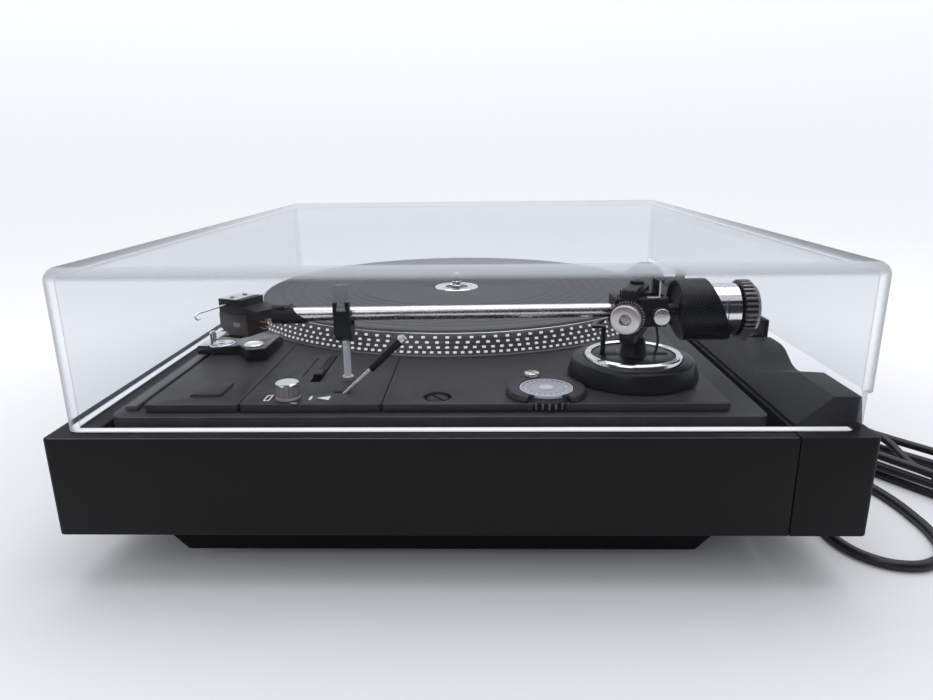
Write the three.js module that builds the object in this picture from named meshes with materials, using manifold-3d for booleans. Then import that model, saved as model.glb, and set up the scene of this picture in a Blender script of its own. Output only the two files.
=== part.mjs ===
// Direct-drive turntable with a clear hinged lid. Millimetres, +Z up, the front faces -Y.
import * as THREE from 'three';
import { mergeVertices } from 'three/addons/utils/BufferGeometryUtils.js';
import Module from 'manifold-3d';

const wasm = await Module();
wasm.setup();

// Shared clearances: between pieces at rest on each other, round a turning shaft, past a cut.
const GAP = 0.3;
const PLAY = 0.4;
const OVERRUN = 2;

// Case. Heights of everything above the floor are measured from the plinth's top.
const FOOT = {
  height: 8.7, radius: 17, topRadius: 14, recess: 5, recessDepth: 4, fromSide: 31.7, fromFront: 25,
  fromRear: 26,
};
const PAN = {
  width: 379.4, drop: 19.5, wall: 2.5, flange: 391, flangeTop: -41.2,
  front: -152, floorFront: -133, floorRear: 114, rear: 133, flangeFront: -161, flangeRear: 146,
};
const PLINTH = {
  width: 420, depth: 365, height: 47.5, wall: 13, frontRail: 19.5, corner: 2.5,
  rearSection: 34.5, ledge: 9, ledgeTop: -14.3, ledgeThick: 3.7, lip: 7, lipThick: 3.5, rearWall: 4,
};
const CHASSIS = {
  width: 390, front: -160.5, rear: 140.3, top: 4, thick: 3.2, skirt: 18, skirtWall: 2.5,
  frontCorner: 8, rearCorner: 4, motorHole: 58,
};
const COVER = {
  thick: 3.7, edge: 189, front: -146, rear: 125, seamFront: -101.5, seamLever: -35, seam: 0.4,
  corner: 2,
};
const TRIM = { left: 26, right: 186, front: -156.5, rear: -150.5, thick: 2.2 };
const NAME_PLATE = { left: 160, right: 178.3, front: -128.4, rear: -113.3, thick: 1.3 };
const RAIL = {
  width: 397.2, front: 150, crest: 168, rear: 179, base: 0.3, lip: 1.5, top: 13.5, hump: 14.3,
};
const LID = {
  width: 406.4, front: -176.3, rear: 182, bottom: 0.3, top: 74, wall: 4, corner: 7, brow: 6,
  rearCut: 17.5, heel: 178, heelRadius: 8,
};
const HINGE = {
  y: 172, z: 8, knuckle: 7.5, pin: 2.5, x: 85, width: 20, leafFront: 175.2, leafRear: 177.7,
  leafTop: 24,
};

// Drive
const PLATTER = {
  x: -39, y: -8.3, radius: 152.5, bottom: 5.3, skirtTop: 8.5, coneFoot: 151.9, coneBottom: 8.9,
  coneHead: 146.2, coneTop: 19.2, crown: 145, top: 20.1, seat: 144, web: 17.5, webThick: 3,
  webRadius: 138, skirtWall: 3, hub: 16, hubBottom: 8.5, boss: 8.2, bossTop: 19.6, bore: 3.9,
};
const MAT = {
  radius: 143.6, edge: 142.6, lip: 138, lipTop: 21.4, face: 20.8, step: 67, label: 20.1,
  bore: 17.4, slope: 1,
};
const HUB_RING = { radius: 16.9, bore: 8.6, top: 20.3, chamfer: 0.8 };
const ROTOR = { radius: 50, bottom: 5.5, shaft: 3.4, spindle: 3.55, tip: 31.2, tipRadius: 2, foot: -30 };
const MOTOR = {
  flange: 70, flangeThick: 3, body: 58, foot: -34, neck: 57, top: 5, neckChamfer: 3, bore: 3.8,
};
const TRANSFORMER = { fromWall: 12.2, y: 75, width: 60, depth: 70, height: 44, core: 34, coil: 46 };

// Controls
const BLOCK = {
  left: 72, front: -153, right: 107, step: -129, noseX: 121, noseY: -119.5, cornerX: 119,
  rear: -109.6, rearLeft: 85, low: 13.3, top: 15,
};
const SPEED_LEVER = {
  x: 101, y: -141, radius: 6, well: 6.4, wellDepth: 1.6, thick: 2, fin: 6.5, finInner: 4.7,
  finHalf: 0.65, boss: 2.2,
};
const SPEED_BUTTON = {
  x: 111, y: -118.6, radius: 5.5, well: 5.8, wellFloor: 10.6, bottom: 12.5, top: 16.2, edge: 0.6,
};
const SELECTOR = {
  x: 181, y: -80, radius: 5.45, flute: 0.35, flutes: 16, skirt: 5.9, skirtThick: 0.8, top: 16.4,
  crown: 0.5, shaft: 2, notch: 2.6,
};
const SLIDER = {
  left: 110, right: 156, front: -76, rear: -71, length: 39, grip: 9, gripRise: 1.4, thick: 3.9,
};
const GROOVE = { left: 114, right: 147, y: -81.3, width: 1.7, depth: 0.8 };
const CUE = {
  x: 172, hingeY: -59.6, hingeZ: 3, barrel: 2.2, barrelWidth: 6.4, pin: 0.9, rod: 0.9, lean: 46.8,
  rodEnd: 24.5, grip: 1.8, gripEnd: 44.7, tip: 2, tipEnd: 47.4, slotWidth: 3.2, slotFront: -60.6,
  slotRear: -52.6,
};
const TRANSIT = { x: 178.5, y: -9.6, recess: 6.7, head: 5, headTop: 7.4, slot: 1.2, slotDepth: 1.2 };
const SCREW = {
  x: 155.5, y: 36.5, radius: 3.8, height: 1.6, slot: 1.1, slotDepth: 0.9, edge: 0.5, pad: 5.4,
};
const SKATE = {
  x: 172.4, y: 42.3, wheel: 17.8, wheelBottom: 4.6, wheelTop: 8.7, teeth: 36, tooth: 0.5, pocket: 18.2,
  bezel: 19.6, bezelTop: 10.6, bezelCrown: 18.4, window: 13.3, near: 187.5, notch: 9.5, notchX: 184,
  disc: 12.8, discTop: 10.5, discEdge: 0.5, roof: 9,
};

// Arm
const PIVOT = { x: 147, y: 88.5, z: 42.4 };
const BASE = {
  radius: 32.6, crown: 30.7, shoulder: 17, top: 17.8, boreTop: 18.2, bore: 24.9, floor: 10,
  hole: 9,
};
const HEIGHT_RING = { radius: 24.5, bore: 21, bottom: 10.3, top: 20.2, chamfer: 0.6, marks: 4, mark: 0.8 };
const TURRET = {
  radius: 20.6, bottom: 16.3, top: 19.3, hub: 8.6, foot: 4.5, column: 7, neck: 5.5, neckTop: 28.7,
  slotNear: 6, slotFar: 17.2, slotWidth: 3.6, bore: 2.8, boreDepth: 12,
};
const LIFT = {
  post: 1.3, reach: 15.5, foot: 11, inner: 18.8, outer: 21.2, from: -92, to: -138, thick: 1.3,
  below: 4.8,
};
const GIMBAL = {
  turn: -23.2, inner: 15, outer: 19, innerHeight: 10.2, height: 13.4, depth: 7, corner: 3.5, shaft: 2.5,
  shaftLength: 10, trunnion: 2, trunnionEnd: 17, scale: 8.4, scaleStart: 18.5, scaleFace: 19.3,
};
const DIAL = {
  start: 19.6, face: 25.2, radius: 7.2, teeth: 22, tooth: 0.35, screw: 2.7, screwDepth: 0.8,
  slot: 1, edge: 0.6,
};
const ARM = { turn: 1.8, radius: 3.45, bore: 2.6, front: -175, rear: -6 };
const CRADLE = { half: 7.5, front: -12, rear: 14, corner: 2, socket: 5.7, crest: 3.2, crestHalf: 3 };
const HEAD = {
  y: -174, turn: -25.5, sleeve: 4.8, sleeveFront: -181, cutTop: -173.5, cutBottom: -162, half: 8,
  neckHalf: 4.6,
  front: -37, shoulder: -13, sole: -0.4, plateStart: -22, plateRise: 2.3, plateStep: 4.4,
};
const FINGER = { start: 6, end: 29.6, v: -32, width: 4, thick: 1.1, height: 5, sag: 1.6, hook: 2.2 };
const CARTRIDGE = {
  half: 7.5, front: -38, rear: -20, top: -0.7, nose: -8.5, chin: -32.5, bottom: -12, pin: 0.5,
  pinLength: 3.4, pinPitch: 3.4,
};
const STYLUS = {
  half: 5, front: -41, rear: -28, top: -12.3, bottom: -14.4, cantilever: 0.45, tipV: -42.5,
  tipZ: -15.9,
};
const HOUSING = {
  radius: 15.5, bore: 13.4, front: 19, disc: 23.5, cutTop: 33.1, cutBottom: 47.1, stub: 3,
  stubFront: 6, stubEnd: 47.4,
  chinFrom: -4.8, chinBack: 4.5, recess: 12.6, recessDepth: 2,
};
const BUSH = { radius: 8, front: 26.4, rear: 47.5 };
const WEIGHT = { radius: 12.8, front: 26.7, rear: 49.2, edge: 0.8 };
const GRIP = { radius: 14.5, front: 49.9, rear: 58.3, teeth: 20, tooth: 0.9, end: 12, plainFrom: 56 };
const LOCK_KNOB = { x: 8.2, face: 15, y: 9.2, z: -0.7, radius: 4.2, teeth: 16, tooth: 0.35, edge: 0.6 };
const REST = {
  x: 151.6, y: -57.2, foot: 2.75, footTop: 10, post: 1.8, top: 29, width: 8, left: -5.4, right: 8,
  lipTop: 38.6, notchFloor: 36.1, earTop: 49.4, earThick: 1.7, hingeX: 5.9, hingeZ: 47.4, pin: 1,
};
const REST_LOCK = { half: 1.05, width: 3.9, wide: 6.9, shoulder: 2.9, length: 10.6, barrel: 1.9 };

// Leads
const RELIEF_INSIDE = 6.5;
const COLLAR_THICK = 2;
const TIP_SHARE = 0.7;
const MAINS = { diameter: 5.5, exitX: 55, exitZ: -36, relief: 24, reliefRadius: 5.5, collar: 8, sides: 8 };
const SIGNAL = { diameter: 5, exitX: -80, exitZ: -36, relief: 14, reliefRadius: 4.6, collar: 7, sides: 8 };
const MAINS_COIL = {
  x: -12, y: 232, heading: 180, run: 0, outer: 42.6, spacing: 0.9, layers: 2, layerTurns: 3,
};
const SIGNAL_HANK = {
  x: 98, y: 277, heading: 33.8, run: 84, outer: 20.5, spacing: 0.9, layers: 3, layerTurns: 1,
};
const MAINS_PLUG = {
  width: 16, height: 12, length: 30, taper: 4, blade: 6.3, bladeThick: 1.5, bladeLength: 17,
  pitch: 12.7,
};
const SIGNAL_PLUG = {
  radius: 6.5, length: 26, tail: 3.6, shell: 5.6, shellLength: 9, shellWall: 0.6, pin: 0.7,
  pinCircle: 3.3, pins: 5,
};

const FLOOR = -(FOOT.height + GAP + PAN.drop + PLINTH.height);
const SEAM = PLINTH.depth / 2 - PLINTH.rearSection;
const DECK = CHASSIS.top + GAP;
const COVER_TOP = DECK + COVER.thick;
const ON_COVER = COVER_TOP + GAP;

// Solids
const WELD = 1e-4;

const toSolid = (shape) => {
  if (shape instanceof wasm.Manifold) return shape;
  const bare = shape.clone();
  bare.deleteAttribute('normal');
  bare.deleteAttribute('uv');
  const welded = mergeVertices(bare, WELD);
  const place = welded.attributes.position;
  const corner = [new THREE.Vector3(), new THREE.Vector3(), new THREE.Vector3()];
  const faces = [];
  let volume = 0;
  for (let i = 0; i < welded.index.count; i += 3) {
    const face = [0, 1, 2].map((k) => welded.index.getX(i + k));
    if (new Set(face).size < 3) continue;
    face.forEach((v, k) => corner[k].fromBufferAttribute(place, v));
    volume += corner[0].dot(corner[1].clone().cross(corner[2]));
    faces.push(face);
  }
  const outward = volume < 0 ? faces.map((face) => face.reverse()) : faces;
  return new wasm.Manifold(new wasm.Mesh({
    numProp: 3,
    vertProperties: new Float32Array(place.array),
    triVerts: new Uint32Array(outward.flat()),
  }));
};

const toGeometry = (shape) => {
  const mesh = toSolid(shape).getMesh();
  const geometry = new THREE.BufferGeometry();
  const places = new Float32Array(mesh.vertProperties);
  geometry.setAttribute('position', new THREE.BufferAttribute(places, mesh.numProp));
  geometry.setIndex(new THREE.BufferAttribute(new Uint32Array(mesh.triVerts), 1));
  geometry.computeVertexNormals();
  return geometry;
};

const cut = (base, ...tools) => tools.reduce((left, tool) => left.subtract(toSolid(tool)), toSolid(base));
const join = (base, ...others) => others.reduce((sum, other) => sum.add(toSolid(other)), toSolid(base));
const common = (base, ...others) => others.reduce(
  (left, other) => left.intersect(toSolid(other)),
  toSolid(base),
);

const frame = (x, y, z) => new THREE.Matrix4().makeBasis(x, y, z);
const X = new THREE.Vector3(1, 0, 0);
const Y = new THREE.Vector3(0, 1, 0);
const Z = new THREE.Vector3(0, 0, 1);
const outline = (points) => new THREE.Shape(points.map(([a, b]) => new THREE.Vector2(a, b)));
const asShape = (points) => (Array.isArray(points) ? outline(points) : points);

const slab = ([x0, x1], [y0, y1], [z0, z1]) => new THREE.BoxGeometry(x1 - x0, y1 - y0, z1 - z0)
  .translate((x0 + x1) / 2, (y0 + y1) / 2, (z0 + z1) / 2);

const prism = (points, z0, z1, curveSegments = 4) => new THREE.ExtrudeGeometry(
  asShape(points),
  { depth: z1 - z0, bevelEnabled: false, curveSegments },
).translate(0, 0, z0);

// A profile of (y, z) points drawn out along X, and one of (x, z) points along Y.
const alongX = (points, x0, x1, curveSegments = 4) => prism(points, x0, x1, curveSegments).applyMatrix4(frame(Y, Z, X));
const alongY = (points, y0, y1, curveSegments = 4) => prism(points, -y1, -y0, curveSegments)
  .applyMatrix4(frame(X, Z, Y.clone().negate()));

// A closed profile of (radius, height) points turned about Z.
const turned = (profile, segments = 32) => {
  const closed = profile[0][0] === 0 && profile.at(-1)[0] === 0 ? profile : [...profile, profile[0]];
  return new THREE.LatheGeometry(closed.map(([r, z]) => new THREE.Vector2(r, z)), segments).rotateX(Math.PI / 2);
};

const pillar = (radius, z0, z1, x = 0, y = 0, segments = 24) => new THREE.CylinderGeometry(
  radius, radius, z1 - z0, segments,
).rotateX(Math.PI / 2).translate(x, y, (z0 + z1) / 2);

// Turns a solid built about Z so that it points along the given direction.
const aim = (geometry, direction) => geometry.applyQuaternion(
  new THREE.Quaternion().setFromUnitVectors(Z, direction.clone().normalize()),
);

const rod = (from, to, radius, segments = 12) => {
  const start = new THREE.Vector3(...from);
  const reach = new THREE.Vector3(...to).sub(start);
  return aim(pillar(radius, 0, reach.length(), 0, 0, segments), reach).translate(...from);
};

const rounded = ([x0, x1], [y0, y1], radius) => {
  const [a, b, c, d] = Array.isArray(radius) ? radius : [radius, radius, radius, radius];
  const shape = new THREE.Shape();
  shape.moveTo(x0 + a, y0);
  shape.lineTo(x1 - b, y0);
  if (b > 0) shape.absarc(x1 - b, y0 + b, b, -Math.PI / 2, 0, false);
  shape.lineTo(x1, y1 - c);
  if (c > 0) shape.absarc(x1 - c, y1 - c, c, 0, Math.PI / 2, false);
  shape.lineTo(x0 + d, y1);
  if (d > 0) shape.absarc(x0 + d, y1 - d, d, Math.PI / 2, Math.PI, false);
  shape.lineTo(x0, y0 + a);
  if (a > 0) shape.absarc(x0 + a, y0 + a, a, Math.PI, 1.5 * Math.PI, false);
  return shape;
};

// The edge of a knob: each tooth is a few points, given as a share of the pitch and of the depth.
const KNURL = [[0, 0], [0.5, 1]];
const COG = [[0, 0], [0.45, 0], [0.55, 1], [0.9, 1]];
const knurled = (radius, depth, count, tooth = KNURL) => {
  const points = [];
  for (let i = 0; i < count; i += 1) {
    tooth.forEach(([share, sink]) => {
      const angle = ((i + share) / count) * 2 * Math.PI;
      const r = radius - sink * depth;
      points.push([r * Math.cos(angle), r * Math.sin(angle)]);
    });
  }
  return points;
};

const sector = (inner, outer, from, to) => {
  const shape = new THREE.Shape();
  shape.absarc(0, 0, outer, from, to, from > to);
  shape.absarc(0, 0, inner, to, from, from < to);
  return shape;
};

const degrees = THREE.MathUtils.degToRad;

// Scene tree
const LOOKS = {
  plinth: [0x29292b, 0.6, 0],
  pan: [0x1f1f20, 0.6, 0],
  rubber: [0x19191a, 0.85, 0],
  deck: [0x4a4849, 0.5, 0],
  cover: [0x403e3f, 0.5, 0],
  rail: [0x434244, 0.6, 0],
  clear: [0xe8ecee, 0.08, 0],
  chrome: [0xd9dadb, 0.18, 1],
  satin: [0xb9b6b3, 0.35, 1],
  platter: [0x3a3536, 0.45, 0.2],
  mat: [0x383436, 0.8, 0],
  black: [0x1b1b1c, 0.45, 0],
  dark: [0x2c2a2b, 0.55, 0],
  steel: [0x8e8f90, 0.4, 1],
  cord: [0x232324, 0.6, 0],
};

const turntable = new THREE.Group();
turntable.name = 'turntable';

const group = (parent, x = 0, y = 0, z = 0, turn = 0) => {
  const node = new THREE.Group();
  node.position.set(x, y, z);
  node.rotation.z = degrees(turn);
  parent.add(node);
  return node;
};

const piece = (parent, name, shape, look, opacity = 1) => {
  const [color, roughness, metalness] = LOOKS[look];
  const material = new THREE.MeshStandardMaterial({
    color, roughness, metalness, opacity, transparent: opacity < 1,
  });
  const mesh = new THREE.Mesh(toGeometry(shape), material);
  mesh.name = name;
  parent.add(mesh);
  return mesh;
};

const deck = group(turntable, 0, 0, -FLOOR);

// Plinth: a frame open at the back, closed by a hollow rear section behind a seam.
const plinthFrame = () => {
  const half = PLINTH.width / 2;
  const front = -PLINTH.depth / 2;
  const wallX = half - PLINTH.wall;
  const wallY = front + PLINTH.frontRail;
  const rear = SEAM + OVERRUN;
  const body = prism(
    rounded([-half, half], [front, SEAM], [PLINTH.corner, PLINTH.corner, 0, 0]),
    -PLINTH.height,
    0,
  );
  const lipTop = PLINTH.lipThick - PLINTH.height;
  const ledgeFoot = PLINTH.ledgeTop - PLINTH.ledgeThick;
  const ledgeX = wallX - PLINTH.ledge;
  const lipX = wallX - PLINTH.lip;
  return cut(
    body,
    slab([-wallX, wallX], [wallY, rear], [PLINTH.ledgeTop, OVERRUN]),
    slab([-ledgeX, ledgeX], [wallY + PLINTH.ledge, rear], [ledgeFoot - OVERRUN, PLINTH.ledgeTop + OVERRUN]),
    slab([-wallX, wallX], [wallY, rear], [lipTop, ledgeFoot]),
    slab([-lipX, lipX], [wallY + PLINTH.lip, rear], [-PLINTH.height - OVERRUN, lipTop + OVERRUN]),
  );
};

const leadHole = (lead) => aim(pillar(lead.reliefRadius + PLAY, 0, PLINTH.depth), Y)
  .translate(lead.exitX, SEAM + PLINTH.rearWall + OVERRUN, lead.exitZ);

const plinthRear = () => {
  const half = PLINTH.width / 2;
  const rear = PLINTH.depth / 2;
  const front = SEAM + GAP;
  const wall = PLINTH.rearWall;
  const body = prism(
    rounded([-half, half], [front, rear], [0, 0, PLINTH.corner, PLINTH.corner]),
    -PLINTH.height,
    0,
  );
  const hollow = slab(
    [wall - half, half - wall],
    [front + wall, rear - wall],
    [-PLINTH.height - OVERRUN, -wall],
  );
  return cut(body, hollow, leadHole(MAINS), leadHole(SIGNAL));
};

// Bottom pan: a tray with sloping ends, dropped in from above onto the plinth's lip.
const bottomPan = () => {
  const half = PAN.width / 2;
  const floor = -PLINTH.height - PAN.drop;
  const shoulder = -PLINTH.height;
  const { wall } = PAN;
  const outer = alongX([
    [PAN.front, PAN.flangeTop], [PAN.front, shoulder], [PAN.floorFront, floor],
    [PAN.floorRear, floor], [PAN.rear, shoulder], [PAN.rear, PAN.flangeTop],
  ], -half, half);
  const inner = alongX([
    [PAN.front + wall, PAN.flangeTop + OVERRUN], [PAN.front + wall, shoulder + wall],
    [PAN.floorFront + wall / 2, floor + wall], [PAN.floorRear - wall / 2, floor + wall],
    [PAN.rear - wall, shoulder + wall], [PAN.rear - wall, PAN.flangeTop + OVERRUN],
  ], wall - half, half - wall);
  const rim = prism(
    rounded([-PAN.flange / 2, PAN.flange / 2], [PAN.flangeFront, PAN.flangeRear], PLINTH.corner),
    PAN.flangeTop - wall,
    PAN.flangeTop,
  );
  return cut(join(outer, rim), inner);
};

const foot = () => turned([
  [0, FOOT.recessDepth],
  [FOOT.recess, FOOT.recessDepth],
  [FOOT.recess, 0],
  [FOOT.radius - FOOT.height / 8, 0],
  [FOOT.radius, FOOT.height / 8],
  [FOOT.radius, FOOT.height / 2],
  [FOOT.topRadius, FOOT.height],
  [0, FOOT.height],
], 16);

piece(deck, 'plinth_frame', plinthFrame(), 'plinth');
piece(deck, 'plinth_rear_section', plinthRear(), 'plinth');
piece(deck, 'bottom_pan', bottomPan(), 'pan');
const footX = PAN.width / 2 - FOOT.fromSide;
const footFront = PAN.floorFront + FOOT.fromFront;
const footRear = PAN.floorRear - FOOT.fromRear;
[['front', footFront], ['rear', footRear]].forEach(([end, y]) => {
  [['left', -footX], ['right', footX]].forEach(([side, x]) => {
    piece(deck, `foot_${end}_${side}`, foot(), 'rubber').position.set(x, y, FLOOR);
  });
});

// Deck: a skirted chassis plate, and thin cover plates that stop short of the platter.
const platterClear = (z0, z1) => pillar(PLATTER.radius + COVER.thick / 2, z0, z1, PLATTER.x, PLATTER.y, 44);

const chassisPlate = () => {
  const half = CHASSIS.width / 2;
  const corners = [CHASSIS.frontCorner, CHASSIS.frontCorner, CHASSIS.rearCorner, CHASSIS.rearCorner];
  const wall = CHASSIS.skirtWall;
  const skirtFoot = CHASSIS.top - CHASSIS.skirt;
  const body = prism(rounded([-half, half], [CHASSIS.front, CHASSIS.rear], corners), skirtFoot, CHASSIS.top);
  const under = prism(
    rounded(
      [wall - half, half - wall],
      [CHASSIS.front + wall, CHASSIS.rear - wall],
      corners.map((r) => r - wall),
    ),
    skirtFoot - OVERRUN,
    CHASSIS.top - CHASSIS.thick,
  );
  const cornerPads = cut(
    slab([-COVER.edge, PLATTER.x], [COVER.front, COVER.rear], [CHASSIS.top - CHASSIS.thick / 2, COVER_TOP]),
    platterClear(0, COVER_TOP + OVERRUN),
  );
  const barrelHalf = CUE.barrelWidth / 2 + GAP;
  const barrelReach = CUE.barrel + PLAY;
  const cueOpening = slab(
    [CUE.x - barrelHalf, CUE.x + barrelHalf],
    [CUE.hingeY - barrelReach, CUE.hingeY + barrelReach],
    [CHASSIS.top - CHASSIS.thick - OVERRUN, COVER_TOP],
  );
  const cuePin = rod(
    [CUE.x - barrelHalf - OVERRUN, CUE.hingeY, CUE.hingeZ],
    [CUE.x + barrelHalf + OVERRUN, CUE.hingeY, CUE.hingeZ],
    CUE.pin,
    10,
  );
  const motorHole = pillar(CHASSIS.motorHole, skirtFoot, COVER_TOP, PLATTER.x, PLATTER.y, 32);
  return join(cut(join(cut(body, under), cornerPads), motorHole, cueOpening), cuePin);
};

const coverPlate = (front, rear) => cut(
  prism(rounded([PLATTER.x, COVER.edge], [front, rear], [0, COVER.corner, COVER.corner, 0]), DECK, COVER_TOP),
  platterClear(0, COVER_TOP + OVERRUN),
);

const frontCover = () => {
  const plate = NAME_PLATE;
  const face = plate.thick / 2;
  const badge = alongX([
    [plate.front, COVER_TOP - face], [plate.rear, COVER_TOP - face], [plate.rear, COVER_TOP + plate.thick],
    [plate.front + face, COVER_TOP + plate.thick], [plate.front, COVER_TOP + face],
  ], plate.left, plate.right);
  return join(coverPlate(COVER.front, COVER.seamFront - COVER.seam / 2), badge);
};

const leverCover = () => {
  const plate = coverPlate(COVER.seamFront + COVER.seam / 2, COVER.seamLever - COVER.seam / 2);
  const through = [0, COVER_TOP + OVERRUN];
  const barrelHalf = CUE.barrelWidth / 2 + GAP;
  const barrelReach = CUE.barrel + PLAY;
  return cut(
    plate,
    slab([GROOVE.left, GROOVE.right], [GROOVE.y - GROOVE.width / 2, GROOVE.y + GROOVE.width / 2],
      [COVER_TOP - GROOVE.depth, COVER_TOP + OVERRUN]),
    slab([SLIDER.left, SLIDER.right], [SLIDER.front, SLIDER.rear], through),
    slab([CUE.x - CUE.slotWidth / 2, CUE.x + CUE.slotWidth / 2], [CUE.slotFront, CUE.slotRear], through),
    slab([CUE.x - barrelHalf, CUE.x + barrelHalf], [CUE.hingeY - barrelReach, CUE.hingeY + barrelReach],
      [0, CUE.hingeZ + barrelReach]),
    pillar(SELECTOR.shaft + PLAY, ...through, SELECTOR.x, SELECTOR.y, 16),
  );
};

const armCover = () => {
  const through = [0, COVER_TOP + OVERRUN];
  return cut(
    coverPlate(COVER.seamLever + COVER.seam / 2, COVER.rear),
    pillar(TRANSIT.recess, ...through, TRANSIT.x, TRANSIT.y, 28),
    pillar(BASE.hole, ...through, PIVOT.x, PIVOT.y, 28),
    pillar(SKATE.pocket, ...through, SKATE.x, SKATE.y, 32),
  );
};

piece(deck, 'chassis_plate', chassisPlate(), 'deck');
piece(deck, 'front_cover', frontCover(), 'cover');
piece(deck, 'lever_cover', leverCover(), 'cover');
piece(deck, 'arm_cover', armCover(), 'cover');
piece(deck, 'front_trim_strip', alongX([
  [TRIM.front, DECK],
  [TRIM.rear, DECK],
  [TRIM.rear, DECK + TRIM.thick],
  [TRIM.front + TRIM.thick / 2, DECK + TRIM.thick],
  [TRIM.front, DECK + TRIM.thick / 2],
], TRIM.left, TRIM.right), 'deck');

// Hinge rail: a waved crest crossed with a sloping front, with a pocket and pin for each knuckle.
const hingeRail = () => {
  const half = RAIL.width / 2;
  const rise = RAIL.top - RAIL.base;
  const wave = [
    [0, 0.82], [0.3, 0.84], [0.375, 0.9], [0.46, 1.03], [0.51, 1.06], [0.56, 1.04], [0.587, 0.95],
    [0.612, 0.74], [0.636, 0.54], [0.66, 0.45], [0.686, 0.45], [0.81, 1], [0.986, 1], [1, 0.22], [1, 0],
  ].map(([share, level]) => [share * half, RAIL.base + level * rise]);
  const mirrored = wave.slice(1).reverse().map(([x, z]) => [-x, z]);
  const crest = alongY([...mirrored, ...wave], RAIL.front, RAIL.rear);
  const slope = alongX([
    [RAIL.front, RAIL.base], [RAIL.rear, RAIL.base], [RAIL.rear, RAIL.hump],
    [RAIL.crest, RAIL.hump], [RAIL.front, RAIL.lip],
  ], -half, half);
  const pocketFront = HINGE.y - HINGE.knuckle - PLAY;
  const pockets = [-HINGE.x, HINGE.x].map((x) => slab(
    [x - HINGE.width / 2 - PLAY, x + HINGE.width / 2 + PLAY],
    [pocketFront, RAIL.rear + OVERRUN],
    [0, RAIL.hump + OVERRUN],
  ));
  const pins = [-HINGE.x, HINGE.x].map((x) => rod(
    [x - HINGE.width / 2 - OVERRUN, HINGE.y, HINGE.z],
    [x + HINGE.width / 2 + OVERRUN, HINGE.y, HINGE.z],
    HINGE.pin,
    20,
  ));
  return join(cut(common(crest, slope), ...pockets), ...pins);
};
piece(deck, 'rear_rail', hingeRail(), 'rail');

// Lid: a rounded box with an even wall, its back wall cut away over the rail.
const roundedBox = (inset) => {
  const half = LID.width / 2 - inset;
  const radius = LID.corner - inset;
  const brow = LID.brow - inset;
  const base = LID.bottom - LID.top;
  const shape = rounded(
    [brow - half, half - brow],
    [LID.front + inset + brow, LID.rear - inset - brow],
    radius - brow,
  );
  const depth = -base;
  return new THREE.ExtrudeGeometry(shape, {
    depth, bevelEnabled: true, bevelThickness: brow, bevelSize: brow, bevelSegments: 3, curveSegments: 3,
  }).translate(0, 0, LID.top - inset - brow - depth);
};

const lid = () => {
  const wide = LID.width / 2 + OVERRUN;
  const inside = LID.width / 2 - LID.wall;
  const heelCut = join(
    slab([-wide, wide], [LID.heel, LID.rear + OVERRUN], [LID.bottom - OVERRUN, LID.rearCut]),
    slab([-inside, inside], [LID.heel - LID.corner, LID.rear + OVERRUN], [LID.bottom - OVERRUN, LID.rearCut]),
    cut(
      slab([-wide, wide], [LID.heel - LID.heelRadius, LID.rear + OVERRUN],
        [LID.bottom - OVERRUN, LID.bottom + LID.heelRadius]),
      rod([-wide - OVERRUN, LID.heel - LID.heelRadius, LID.bottom + LID.heelRadius],
        [wide + OVERRUN, LID.heel - LID.heelRadius, LID.bottom + LID.heelRadius], LID.heelRadius, 32),
    ),
  );
  const below = slab(
    [-LID.width, LID.width],
    [2 * LID.front, 2 * LID.rear],
    [LID.bottom - LID.top, LID.bottom],
  );
  return cut(roundedBox(0), roundedBox(LID.wall), below, heelCut);
};

const lidHinge = () => {
  const half = HINGE.width / 2;
  const leaf = slab([-half, half], [HINGE.leafFront, HINGE.leafRear], [HINGE.z, HINGE.leafTop]);
  const barrel = rod([-half, HINGE.y, HINGE.z], [half, HINGE.y, HINGE.z], HINGE.knuckle, 22);
  const bore = rod(
    [-HINGE.width, HINGE.y, HINGE.z], [HINGE.width, HINGE.y, HINGE.z], HINGE.pin + GAP, 20,
  );
  return cut(join(barrel, leaf), bore);
};

piece(deck, 'lid', lid(), 'clear', 0.25);
piece(deck, 'lid_hinge_left', lidHinge(), 'dark').position.x = -HINGE.x;
piece(deck, 'lid_hinge_right', lidHinge(), 'dark').position.x = HINGE.x;

// Drive: the platter rides on the rotor's disc, and the rotor turns in the fixed motor housing.
const drive = group(deck, PLATTER.x, PLATTER.y);

piece(drive, 'platter', turned([
  [PLATTER.bore, PLATTER.hubBottom],
  [PLATTER.hub, PLATTER.hubBottom],
  [PLATTER.hub, PLATTER.web - PLATTER.webThick],
  [PLATTER.webRadius, PLATTER.web - PLATTER.webThick],
  [PLATTER.radius - PLATTER.skirtWall, PLATTER.bottom],
  [PLATTER.radius, PLATTER.bottom],
  [PLATTER.radius, PLATTER.skirtTop],
  [PLATTER.coneFoot, PLATTER.coneBottom],
  [PLATTER.coneHead, PLATTER.coneTop],
  [PLATTER.crown, PLATTER.top],
  [PLATTER.seat, PLATTER.top],
  [PLATTER.seat, PLATTER.web],
  [PLATTER.boss, PLATTER.web],
  [PLATTER.boss, PLATTER.bossTop],
  [PLATTER.bore, PLATTER.bossTop],
], 42), 'platter');

const matFoot = PLATTER.web + GAP;
piece(drive, 'platter_mat', turned([
  [MAT.bore, matFoot],
  [MAT.radius, matFoot],
  [MAT.radius, MAT.lipTop - MAT.slope],
  [MAT.edge, MAT.lipTop],
  [MAT.lip, MAT.lipTop],
  [MAT.lip - MAT.slope, MAT.face],
  [MAT.step, MAT.face],
  [MAT.step - MAT.slope, MAT.label],
  [MAT.bore, MAT.label],
], 42), 'mat');

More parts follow.
